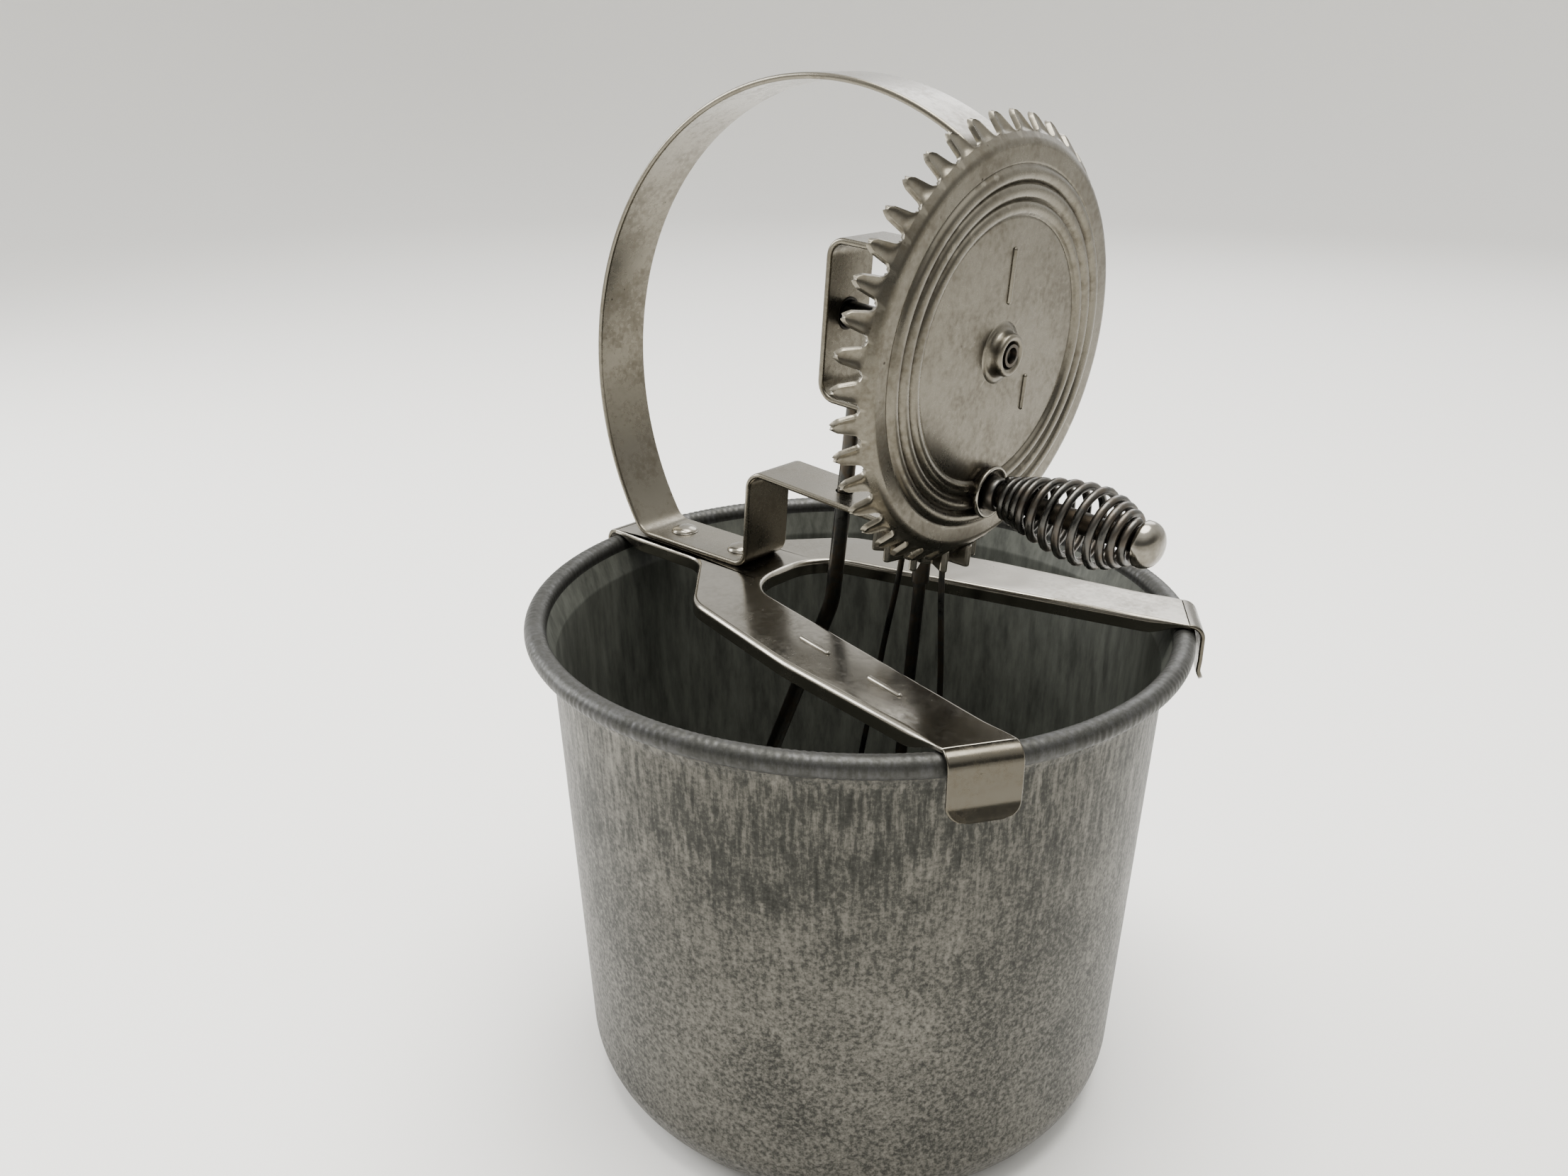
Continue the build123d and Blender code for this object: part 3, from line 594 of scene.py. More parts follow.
def plated(name, paint, metal, level, film, rough, soiled):
    """Nickel plate on pressed sheet, polished once and handled for years: a soft mirror, clouded by a
    brown film, brighter where its edges rub, with brown dirt and painted shade in its corners, pinholes
    and wiping marks."""
    tree, shader, where = start(name)
    metal = [v * level for v in getattr(paint, metal)]
    clouds = add(
        tree, "TexNoise",
        {"Vector": where, "Scale": per(9), "Detail": 6.0, "Roughness": 0.6, "Distortion": 0.3},
    )
    flecks = add(tree, "TexNoise", {"Vector": where, "Scale": per(1.2), "Detail": 4.0, "Roughness": 0.65})
    mottle = add(tree, "Math", {0: clouds, 1: flecks}, operation="MULTIPLY")
    cloudy = add(
        tree, "MapRange", {"Value": mottle, "From Min": 0.16, "From Max": 0.42, "To Max": soiled},
        interpolation_type="SMOOTHSTEP",
    )
    filmed = add(
        tree, "Mix", {"Factor": cloudy, MIX_A: opaque(metal), MIX_B: opaque(getattr(paint, film))},
        data_type="RGBA",
    )
    form = add(tree, "NewGeometry").outputs["Pointiness"]
    rubbed = add(tree, "MapRange", {"Value": form, "From Min": 0.51, "From Max": 0.58, "To Max": 0.7})
    bright = add(
        tree, "Mix", {"Factor": rubbed, MIX_A: filmed.outputs[MIX_COLOUR], MIX_B: opaque(metal, 1.5)},
        data_type="RGBA",
    )
    # Painted shade: ambient occlusion finds corners, creases and gaps between parts, and the mask below
    # darkens them towards the dark brown, on top of marking real dirt.
    corners = add(tree, "AmbientOcclusion", {"Distance": 3.0 * MM}, samples=6).outputs["AO"]
    painted_corner_shade = add(tree, "MapRange", {"Value": corners, "From Min": 0.72, "From Max": 0.3})
    uneven = add(tree, "MapRange", {"Value": mottle, "From Min": 0.14, "From Max": 0.34, "To Min": 0.25})
    pits = add(tree, "TexVoronoi", {"Vector": where, "Scale": per(3.2)})
    holes = add(tree, "MapRange", {"Value": pits, "From Min": 0.1, "From Max": 0.04})
    thin = add(tree, "MapRange", {"Value": clouds, "From Min": 0.5, "From Max": 0.62})
    pinholes = add(tree, "Math", {0: holes, 1: thin}, operation="MULTIPLY")
    soil_and_corner_shade = add(tree, "Math", {0: painted_corner_shade, 1: uneven}, operation="MULTIPLY")
    soil_shade_and_pinholes = add(tree, "Math", {0: soil_and_corner_shade, 1: pinholes}, operation="MAXIMUM")
    # Mixes the dark brown in where the painted corner shade, the dirt and the pinholes lie.
    skin = add(
        tree, "Mix", {"Factor": soil_shade_and_pinholes, MIX_A: bright.outputs[MIX_COLOUR], MIX_B: opaque(paint.grime_and_shade)},
        data_type="RGBA",
    )
    dull = add(tree, "Math", {0: cloudy, 1: 0.16, 2: rough}, operation="MULTIPLY_ADD")
    duller = add(tree, "Math", {0: soil_shade_and_pinholes, 1: 0.3, 2: dull}, operation="MULTIPLY_ADD")
    wiping = add(tree, "Mapping", {"Vector": where, "Scale": (0.1, 1.0, 0.4), "Rotation": (0.4, 0.3, 0.9)})
    scratches = add(tree, "TexNoise", {"Vector": wiping, "Scale": per(0.4), "Roughness": 0.6})
    fine = add(tree, "Bump", {"Height": scratches, "Distance": 0.006 * MM, "Strength": 0.5})
    sheet = add(tree, "TexNoise", {"Vector": where, "Scale": per(13), "Detail": 1.0, "Roughness": 0.4})
    waves = add(tree, "Bump", {"Height": sheet, "Distance": 0.5 * MM, "Strength": 0.5, "Normal": fine})
    feed(tree, shader, {
        "Base Color": skin.outputs[MIX_COLOUR], "Roughness": duller, "Metallic": 1.0, "Normal": waves,
    })


def drawn_steel(name, paint, metal, rust, rough):
    """Drawn steel wire: a dark skin from oil and age, browner in patches, with a greasy gloss that
    breaks up where the oil has dried."""
    tree, shader, where = start(name)
    metal = getattr(paint, metal)
    skin = add(
        tree, "TexNoise",
        {"Vector": where, "Scale": per(5), "Detail": 6.0, "Roughness": 0.62, "Distortion": 0.3},
    )
    tone = add(tree, "ValToRGB", {"Fac": skin}, ramp=(
        (0.32, opaque(metal, 0.5)), (0.46, opaque(metal)), (0.58, opaque(linear(rust))), (0.7, opaque(metal)),
    ))
    polish = add(
        tree, "MapRange",
        {"Value": skin, "From Min": 0.35, "From Max": 0.65, "To Min": rough, "To Max": rough + 0.2},
    )
    specks = add(tree, "TexNoise", {"Vector": where, "Scale": per(0.8), "Detail": 3.0, "Roughness": 0.6})
    surface = add(tree, "Bump", {"Height": specks, "Distance": 0.015 * MM, "Strength": 0.5})
    feed(tree, shader, {"Base Color": tone, "Roughness": polish, "Metallic": 1.0, "Normal": surface})


def dull_tin(name, paint, light, contrast):
    """Hot-dipped tin on spun sheet, grown dull: fine streaks run down from the rim, and below them the
    coat has broken into light and dark grains about half a millimetre across."""
    tree, shader, where = start(name)
    steep = add(tree, "Mapping", {"Vector": where, "Scale": (1.0, 1.0, 0.14)})
    streaks = add(tree, "TexNoise", {"Vector": steep, "Scale": per(1.1), "Detail": 5.0, "Roughness": 0.7})
    grains = add(tree, "TexNoise", {"Vector": where, "Scale": per(0.9), "Detail": 5.0, "Roughness": 0.75})
    clouds = add(
        tree, "TexNoise",
        {"Vector": where, "Scale": per(24), "Detail": 5.0, "Roughness": 0.62, "Distortion": 0.4},
    )
    height = add(tree, "SeparateXYZ", {"Vector": where}).outputs["Z"]
    upper = add(
        tree, "MapRange",
        {"Value": height, "From Min": 0.03, "From Max": 0.1, "To Min": 0.05, "To Max": 0.6},
        interpolation_type="SMOOTHSTEP",
    )
    grained = add(tree, "Mix", {"Factor": upper, "A": grains, "B": streaks})
    handled = add(tree, "Math", {0: upper, 1: -0.07, 2: -0.12}, operation="MULTIPLY_ADD")
    clouded = add(tree, "Math", {0: clouds, 1: 0.28, 2: handled}, operation="MULTIPLY_ADD")
    mottle = add(tree, "Math", {0: grained, 1: clouded}, operation="ADD")
    light, dark = getattr(paint, light), paint.tin_dark
    even = [(a + b) / 2 for a, b in zip(light, dark)]
    tone = add(tree, "ValToRGB", {"Fac": mottle}, ramp=[
        (position, opaque([e + (v * level - e) * contrast for e, v in zip(even, grain)]))
        for position, grain, level in (
            (0.34, dark, 0.5), (0.45, dark, 1.0), (0.55, light, 1.0), (0.68, light, 1.6),
        )
    ])
    polish = add(
        tree, "MapRange",
        {"Value": mottle, "From Min": 0.35, "From Max": 0.65, "To Min": 0.55, "To Max": 0.4},
    )
    surface = add(tree, "Bump", {"Height": mottle, "Distance": 0.05 * MM, "Strength": 0.6 * contrast})
    feed(tree, shader, {"Base Color": tone, "Roughness": polish, "Metallic": 0.8, "Normal": surface})


def blackened_tin(name, paint, inside):
    """The pot's inside: tin blackened by use, a dark even grey with a soft sheen and faint streaks."""
    tree, shader, where = start(name)
    inside = getattr(paint, inside)
    steep = add(tree, "Mapping", {"Vector": where, "Scale": (1.0, 1.0, 0.2)})
    stains = add(tree, "TexNoise", {"Vector": steep, "Scale": per(3), "Detail": 7.0, "Roughness": 0.7})
    stops = ((0.35, opaque(inside, 0.6)), (0.65, opaque(inside, 1.45)))
    tone = add(tree, "ValToRGB", {"Fac": stains}, ramp=stops)
    surface = add(tree, "Bump", {"Height": stains, "Distance": 0.08 * MM, "Strength": 0.4})
    feed(tree, shader, {"Base Color": tone, "Roughness": 0.5, "Metallic": 0.15, "Normal": surface})


def paper(name, paint, sheet):
    """Matt coated paper, the same all over, with hardly any sheen."""
    tree, shader, _ = start(name)
    colour_value = opaque(getattr(paint, sheet))
    feed(tree, shader, {"Base Color": colour_value, "Roughness": 0.8, "Specular IOR Level": 0.1})


FINISHES = {
    # plate, its brightness, its film, roughness and how far the film has spread
    "worn_nickel_strip": (plated, "nickel", 1.0, "tarnish", 0.24, 0.8),
    "tarnished_nickel_wheel": (plated, "nickel", 1.05, "tarnish", 0.27, 0.7),
    "bright_nickel_yoke": (plated, "bright", 1.0, "nickel", 0.17, 0.7),
    # Painted shade: the tongues are bent from the yoke's own sheet, and this darker copy of the nickel paints
    # the shade on their hanging faces.
    "rubbed_nickel_tongue": (plated, "nickel", 0.6, "tarnish", 0.2, 0.8),
    "bright_nickel_small": (plated, "bright", 1.0, "tarnish", 0.18, 0.5),
    # steel, its rust and its roughness
    "drawn_steel_rod": (drawn_steel, "steel", "474037", 0.26),
    "oiled_spring_steel": (drawn_steel, "spring", "504A43", 0.24),
    "greased_steel": (drawn_steel, "grease", "3A332A", 0.35),
    # tin's light grains and its contrast with the dark ones
    "dull_tin_sheet": (dull_tin, "tin", 1.0),
    "dull_tin_rim": (dull_tin, "rim", 0.6),
    "blackened_tin_inside": (blackened_tin, "inside"),
    "pale_paper": (paper, "floor"),
}


def finish(kind):
    """The material of a kind, made the first time it is asked for."""
    if kind not in bpy.data.materials:
        make, *settings = FINISHES[kind]
        make(kind, bpy.context.scene.mixer_colours, *settings)
    return bpy.data.materials[kind]


# ---------------------------------------------------------------- pot
class MIXER_OT_pot(Operator):
    """Spun pot with its rounded base, drawn-in neck and wired rim"""

    bl_idname = "mixer.pot"
    bl_label = "Pot"

    def execute(self, context):
        s = context.scene.mixer_pot
        tin = finish("dull_tin_sheet")
        inside = finish("blackened_tin_inside")
        wall = lathe("pot_wall", pot_wall_profile(s), segments=256)
        crisp(wall, 50)
        fit_piece(wall, "pot", "pot_metal", tin, "pot")
        wall.data.materials.append(inside)
        for face in wall.data.polygons:
            if outwards(face) < -0.2 or face.normal.z > 0.6:
                face.material_index = 1
        rim = lathe("pot_rim", pot_rim_profile(s), segments=1440, wobble=rim_marks(s))
        crisp(rim, 50)
        fit_piece(rim, "pot", "pot_metal", finish("dull_tin_rim"), "pot")
        rim.data.materials.append(tin)
        rim.data.materials.append(inside)
        for face in rim.data.polygons:
            if face.center.z < RIM.z - s.bead:
                face.material_index = 1 if outwards(face) > 0 else 2
        dress("rim_wire", finish("drawn_steel_rod"))
        return {"FINISHED"}


def outwards(face):
    """How far a face looks away from the pot's axis, from -1 to 1."""
    return face.normal.xy.dot(face.center.xy.normalized())


def neck_start(s):
    """Height of the neck's foot, and the wall's outer radius and height where the rim piece takes over."""
    top = RIM.z - s.neck
    below = 2 * MM
    slope = (s.top_radius - s.base_radius) / (top - s.corner)
    return top, s.top_radius - slope * below, top - below


def pot_wall_profile(s):
    """Outside and inside of the pot up to its neck, as (radius, height)."""
    _, joint_r, joint_z = neck_start(s)
    foot = s.base_radius - s.corner
    flat = foot - 6 * MM
    hollow = 0.35 * MM
    corner = Vector((foot, s.corner))
    outer = [Vector((0.0, hollow)), Vector((flat, hollow)), Vector((foot, 0.0))]
    outer += arc(corner, s.corner, -90, 0, 18)
    outer += fill_steps([outer.pop(), Vector((joint_r, joint_z))], 4 * MM)
    inner = [Vector((joint_r - s.sheet, joint_z))]
    inner += fill_steps([inner[0], Vector((s.base_radius - s.sheet, s.corner))], 4 * MM)[1:]
    inner += arc(corner, s.corner - s.sheet, 0, -90, 18)[1:]
    floor = s.sheet + 0.2 * MM
    return outer + inner + [Vector((flat, floor)), Vector((0.0, floor))]


def pot_rim_profile(s):
    """The neck and the rolled bead round its wire, as (radius, height)."""
    top, joint_r, low = neck_start(s)
    roll = s.bead / 2
    middle = bead_middle(s)
    under = middle + Vector((-roll * 0.72, -roll * 0.7))
    outer = [
        (joint_r, low),
        (s.top_radius + 0.05 * MM, top),
        (under.x - 0.1 * MM, under.y - 1.2 * MM),
        (under.x, under.y),
    ]
    outer = fill_steps(rounded(outer, [0, 3 * MM, 2 * MM, 0]), 0.35 * MM)
    bead = arc(middle, roll, -118, 180, 36)
    inner = [
        (middle.x - roll, middle.y - 0.8 * MM),
        (s.top_radius - s.sheet, top),
        (joint_r - s.sheet, low),
    ]
    return outer[:-1] + bead + rounded(inner, [0, 3 * MM, 0])


def bead_middle(s):
    return Vector((POT_OUT - s.bead / 2, RIM.z - s.bead / 2))


def rim_marks(s):
    """Small wrinkles across the bead and a row of roller marks round the neck."""
    roll = s.bead / 2
    middle = bead_middle(s)
    dash_height = RIM.z - 6.9 * MM
    dash_width = 0.45 * MM
    dash_depth = 0.16 * MM

    def mark(r, z, a):
        spot = Vector((r, z)) - middle
        if spot.length < roll * 1.02:
            drift = noise.noise(Vector((*spoke(a, 6), z / MM * 0.25)))
            wave = math.sin(s.crinkles * a + 3.5 * drift + spot.angle_signed(Vector((1, 0))) * 0.6)
            depth = s.crinkle * (0.55 + 0.9 * drift)
            spot = spot * (1 - max(0.0, depth) * (0.5 + 0.5 * wave) / roll)
            return middle.x + spot.x, middle.y + spot.y
        near = max(0.0, 1 - abs(z - dash_height) / dash_width)
        if near and r > s.top_radius - 0.3 * MM:
            dash = 0.5 + 0.5 * math.sin(s.dashes * a)
            r -= dash_depth * near * min(1.0, dash * 1.8)
        return r, z

    return mark


# ---------------------------------------------------------------- rim yoke
class MIXER_OT_yoke(Operator):
    """Y-shaped sheet that sits on the rim, with turned edges and three spring tongues"""

    bl_idname = "mixer.yoke"
    bl_label = "Rim yoke"

    def execute(self, context):
        s = context.scene.mixer_yoke
        nickel = finish("bright_nickel_yoke")
        fit_piece(yoke_plate(s), "mixer", "yoke_nickel", nickel, "rim_yoke")
        widths = (s.tongue_width, s.tongue_width, s.stem_width)
        for index, (angle, width) in enumerate(zip(arm_angles(s), widths)):
            tongue = yoke_tongue(s, f"yoke_tongue_{index + 1}", angle, width)
            # The tongues take the darker nickel, which paints the shade on their hanging faces.
            fit_piece(tongue, "mixer", "yoke_nickel", finish("rubbed_nickel_tongue"), "rim_yoke")
        for index, along in enumerate((0.30, 0.62)):
            bar = raised_bar(f"yoke_bar_{index + 1}", 9 * MM)
            bar.data.transform(yoke_arm_place(s, along))
            fit_piece(bar, "mixer", "yoke_nickel", nickel)
        return {"FINISHED"}


def arm_angles(s):
    return s.arm_angle, -s.arm_angle, math.pi


def yoke_reach(s):
    """Distance of the tongues' fold lines from the pot's axis."""
    return POT_OUT + s.hook_gap - bpy.context.scene.mixer_pot.bead / 2


def yoke_outline(s):
    """Half of the yoke's edge, from the stem's hook to the crotch, with each corner's radius."""
    reach = yoke_reach(s)
    along = spoke(s.arm_angle)
    side = along.orthogonal() * s.tongue_width / 2
    half = s.stem_width / 2
    return [
        (Vector((-reach, half)), 0.0),
        (Vector((s.stem_end, half)), s.stem_corner),
        (Vector(s.shoulder), s.shoulder_corner),
        (Vector(s.flank), s.flank_corner),
        (along * reach + side, 0.0),
        (along * reach - side, 0.0),
        (Vector(s.crotch), s.crotch_corner),
    ]


def yoke_plate(s):
    """The flat sheet with its edge turned down all round, except where the tongues begin."""
    upper = yoke_outline(s)
    corners = upper + [(Vector((p.x, -p.y)), r) for p, r in reversed(upper)]
    path = rounded([c for c, _ in corners], [r for _, r in corners], closed=True, step=math.radians(5))
    path = fill_steps(path, 1.5 * MM, closed=True)
    reach = yoke_reach(s)
    folds = [spoke(a, reach) for a in arm_angles(s)]
    n = len(path)
    verts = []
    for i, here in enumerate(path):
        before = (here - path[i - 1]).normalized()
        after = (path[(i + 1) % n] - here).normalized()
        ahead = (before + after).normalized()
        inwards = Vector((ahead.y, -ahead.x))
        if abs(before.dot(after)) < 0.8:
            inwards /= max(0.5, math.cos(before.angle(after) / 2))
        to_fold = (abs((here - f).dot(f.normalized())) for f in folds if here.dot(f) > 0)
        away = min(to_fold, default=reach)
        turned = min(1.0, max(0.0, (away - 1.0 * MM) / (7 * MM)))
        column = edge_column(s, turned * turned * (3 - 2 * turned))
        for inset, z in column:
            spot = here + inwards * inset
            verts.append((spot.x, spot.y, z))
    rows = len(column)
    faces = grid_faces(n, rows, wrap_outer=True)
    for triangle in tessellate_polygon([[Vector((*p, 0)) for p in path]]):
        faces.append(tuple(i * rows for i in triangle))
        faces.append(tuple(i * rows + rows - 1 for i in triangle[::-1]))
    plate = make_object("yoke_plate", verts, faces, AT_RIM)
    weld(plate)
    crisp(plate, 40)
    return plate


def edge_column(s, turned):
    """The sheet's edge as (inset, height): a plain cut edge at 0 and fully turned down at 1."""
    top = s.lift + s.sheet
    under = s.lift
    depth = s.sheet + (s.flange - s.sheet) * turned
    low = top - depth
    edge = min(s.edge * (0.3 + 0.7 * turned), depth * 0.9)
    inner = s.sheet * 0.9
    soft = 0.15 * MM
    shoulder = under - (0.3 * MM * turned or 0.02 * MM)
    column = [(edge, top)]
    for k in range(1, 6):
        a = math.radians(18 * k)
        column.append((edge - edge * math.sin(a), top - edge + edge * math.cos(a)))
    return column + [
        (0.0, low + soft), (soft, low), (inner, low), (inner, shoulder), (inner + 0.4 * MM, under),
    ]


def yoke_tongue(s, name, angle, width):
    """A spring tongue, folded over the rim bead, pinched in under it and kicked out at its end."""
    face = POT_OUT + s.hook_gap + s.sheet / 2
    middle = s.lift + s.sheet / 2
    low = s.lift - bpy.context.scene.mixer_pot.bead / 2 - s.tongue_length
    corners = [
        (yoke_reach(s), middle),
        (face, middle),
        (face, low + s.tongue_length * 0.52),
        (face - s.hook_gap + s.side_gap, low + s.tongue_length * 0.28),
        (face + s.tongue_lip, low),
    ]
    path = fill_steps(rounded(corners, [0, s.tongue_bend, 3 * MM, 1.6 * MM, 0]), 0.4 * MM)
    whole = 14.5 * MM
    corner = s.tongue_corner

    def narrow(share):
        """The tongue's end is cut with rounded corners."""
        left = (1 - share) * whole
        if left >= corner:
            return 1.0
        cut_in = corner - math.sqrt(max(0.0, corner**2 - (corner - left) ** 2))
        return 1 - 2 * cut_in / width

    tongue = strip(name, path, width, s.sheet, AT_RIM @ Matrix.Rotation(angle, 4, "Z"), narrow=narrow)
    crisp(tongue, 40)
    return tongue


def raised_bar(name, long, wide=1.0 * MM, rise=0.5 * MM):
    """A plain pressed rib, round-ended and soft-shouldered, lying along X on Z = 0."""
    verts = []
    rows = 6
    around = 28
    for k in range(rows + 1):
        a = math.pi / 2 * k / rows
        r = wide / 2 - wide / 2 * (1 - math.cos(a)) * 0.98
        for i in range(around):
            turn = spoke(TAU * i / around)
            shift = (long - wide) / 2 * (1 if turn.x >= 0 else -1)
            verts.append((shift + r * turn.x, r * turn.y, rise * math.sin(a)))
    faces = grid_faces(rows + 1, around, wrap_inner=True, flip=True) + end_faces(rows + 1, around)
    return make_object(name, verts, faces)


def yoke_arm_place(s, along):
    """Where a bar lies on the top of the arm nearest the crank side, at a share of its length."""
    inner_end = Vector((-8.0 * MM, -20.5 * MM))
    outer_end = spoke(-s.arm_angle, yoke_reach(s))
    spot = inner_end.lerp(outer_end, along)
    heading = outer_end - inner_end
    turn = math.atan2(heading.y, heading.x)
    lift = s.lift + s.sheet - 0.03 * MM
    return AT_RIM @ Matrix.Translation((*spot, lift)) @ Matrix.Rotation(turn, 4, "Z")


# ---------------------------------------------------------------- strap frame and rear bracket
class MIXER_OT_strap(Operator):
    """One bent strip: foot, short leg, bearing shelf, upright and handle ring"""

    bl_idname = "mixer.strap"
    bl_label = "Strap frame"

    def execute(self, context):
        s = context.scene.mixer_strip
        strap = strip("strap", strap_path(s), s.width, s.sheet, AT_RIM, closed=True)
        through = [stay_line(s.shelf - 4 * MM), stay_line(s.shelf + 3 * MM)]
        cut(strap, tube("shelf_cutter", through, context.scene.mixer_stay.hole, AT_MECHANISM))
        crisp(strap)
        fit_piece(strap, "mixer", "strip_nickel", finish("worn_nickel_strip"), "strap_frame")
        return {"FINISHED"}


def stay_line(v):
    """The stay rod's middle at a height, over its straight upper part."""
    stay = bpy.context.scene.mixer_stay
    top, bend = Vector(stay.top), Vector(stay.bend)
    u = bend.lerp(top, (v - bend.y) / (top.y - bend.y)).x
    return Vector((u, 0.0, v))


def from_mechanism(u, v):
    """A mechanism point as rim-frame (x, z)."""
    spot = leaning(Vector((0, 0, 0))) @ Vector((u, 0, v))
    return Vector((spot.x, spot.z))


def strap_path(s):
    """The strip's middle line in the rim frame, once round, from the middle of its foot."""
    half = s.sheet / 2
    yoke = bpy.context.scene.mixer_yoke
    foot = yoke.lift + yoke.sheet + 0.02 * MM + half
    leg, shelf, upright = s.leg - half, s.shelf - half, s.upright - half
    centre = Vector(s.ring_centre)
    ring = s.ring_radius - half
    rise = from_mechanism(0.0, 1.0)
    leg_foot = from_mechanism(leg, 0.0)
    leg_foot = leg_foot + rise * ((foot - leg_foot.y) / rise.y)
    leg_top = from_mechanism(leg, shelf)
    shelf_end = from_mechanism(upright, shelf)
    from_centre = shelf_end - centre
    back = from_centre.dot(rise)
    ring_end = shelf_end + rise * (math.sqrt(back**2 - from_centre.length_squared + ring**2) - back)
    foot_left = Vector((centre.x - math.sqrt(ring**2 - (centre.y - foot) ** 2), foot))
    first = math.degrees(math.atan2(*(ring_end - centre).yx))
    last = math.degrees(math.atan2(*(foot_left - centre).yx)) + 360
    middle = foot_left.lerp(leg_foot, 0.5)
    path = fill_steps([middle, leg_foot, leg_top, shelf_end, ring_end], 0.35 * MM)
    path += arc(centre, ring, first, last, 300)[1:-1]
    path += fill_steps([foot_left, middle], 0.35 * MM)[:-1]
    bend = s.bend + half
    for corner, radius in (
        (leg_foot, bend), (leg_top, bend), (shelf_end, bend), (ring_end, s.ring_end_bend),
        (foot_left, s.foot_bend),
    ):
        path = soften(path, corner, radius)
    return path


def soften(path, corner, radius):
    """Rounds one sharp corner of a dense path, leaving both sides in their own directions."""
    at = min(range(2, len(path) - 2), key=lambda i: (path[i] - corner).length)
    turn = (path[at] - path[at - 1]).angle(path[at + 1] - path[at])
    reach = radius * math.tan(turn / 2)
    first = last = at
    while (path[at] - path[first]).length < reach:
        first -= 1
    while (path[last] - path[at]).length < reach:
        last += 1
    handle = 4 / 3 * math.tan(turn / 4) * radius
    a, d = path[first], path[last]
    b = a + (path[first] - path[first - 1]).normalized() * handle
    c = d - (path[last + 1] - path[last]).normalized() * handle
    count = max(4, round(turn / math.radians(6)))
    curve = [bezier(a, b, c, d, k / count) for k in range(count + 1)]
    return path[:first] + curve + path[last + 1 :]


class MIXER_OT_rear_bracket(Operator):
    """C-shaped strip that carries the axle's rear end, tenoned into the upright"""

    bl_idname = "mixer.rear_bracket"
    bl_label = "Rear bracket"

    def execute(self, context):
        s = context.scene.mixer_strip
        half = s.sheet / 2
        end = s.upright - s.sheet
        rear, top, low = s.rear - half, s.rear_top - half, s.rear_bottom + half
        bend = s.bend + half
        path = rounded([(end, low), (rear, low), (rear, top), (end, top)], [0, bend, bend, 0])
        path = fill_steps(path, 1.0 * MM)
        bracket = strip("rear_bracket_strip", path, s.width, s.sheet, AT_MECHANISM)
        tenon = s.sheet + 0.5 * MM
        for v in (top, low):
            block = rounded_block((end + tenon / 2, 0.0, v), (tenon, 5 * MM, s.sheet), 0.25 * MM)
            join(bracket, block, AT_MECHANISM)
        crisp(bracket)
        fit_piece(bracket, "mixer", "strip_nickel", finish("worn_nickel_strip"), "rear_bracket")
        ring = washer_profile(at=s.rear + 0.02 * MM, thick=0.12 * MM, bore=2.42 * MM, radius=3.1 * MM)
        bearing = lathe("rear_bearing_grease", ring, AT_AXLE, 64, axis="AXLE")
        fit_piece(bearing, "mixer", "steel_wire", finish("greased_steel"))
        return {"FINISHED"}


def washer_profile(at, thick, bore, radius):
    """A thin ring with soft edges, as (radius, along)."""
    soft = thick * 0.4
    return [
        (bore, at), (bore, at + thick), (radius - soft, at + thick), (radius, at + thick - soft),
        (radius, at + soft), (radius - soft, at),
    ]


def rounded_block(centre, size, bevel):
    """A small block with its edges rounded."""
    bm = bmesh.new()
    bmesh.ops.create_cube(bm, size=1.0)
    bmesh.ops.scale(bm, vec=size, verts=bm.verts)
    bmesh.ops.translate(bm, vec=centre, verts=bm.verts)
    bmesh.ops.bevel(bm, geom=bm.edges, offset=bevel, segments=3, profile=0.5, affect="EDGES")
    return bm


def join(piece, extra, matrix):
    """Adds a small form to a piece's mesh."""
    extra.transform(matrix)
    whole = bmesh.new()
    whole.from_mesh(piece.data)
    add_on = bpy.data.meshes.new("extra")
    extra.to_mesh(add_on)
    whole.from_mesh(add_on)
    whole.to_mesh(piece.data)
    bpy.data.meshes.remove(add_on)
    whole.free()
    extra.free()
    piece.data.shade_smooth()


class MIXER_OT_foot_rivets(Operator):
    """Two domed rivets that fasten the strap's foot to the yoke's stem"""

    bl_idname = "mixer.foot_rivets"
    bl_label = "Foot rivets"

    def execute(self, context):
        yoke = context.scene.mixer_yoke
        strap = context.scene.mixer_strip
        top = yoke.lift + yoke.sheet + strap.sheet + 0.03 * MM
        low = yoke.lift - 0.02 * MM
        head, rise = strap.rivet_head, strap.rivet_rise
        profile = [(0.0, top + rise)]
        for k in range(1, 13):
            a = math.radians(90 - 7.2 * k)
            profile.append((head * math.cos(a) * 0.985, top + rise * math.sin(a)))
        profile += [(head, top + 0.12 * MM), (head - 0.1 * MM, top), (1.4 * MM, top)]
        profile += in_mm([(1.4, 0), (2.3, 0), (2.4, -0.2), (2.0, -0.7), (0, -0.78)], low)
        for index, x in enumerate(strap.rivets):
            rivet = lathe(f"foot_rivet_{index + 1}", profile, AT_RIM @ Matrix.Translation((x, 0, 0)), 64)
            fit_piece(rivet, "mixer", "strip_nickel", finish("bright_nickel_small"), "foot_rivets")
        return {"FINISHED"}


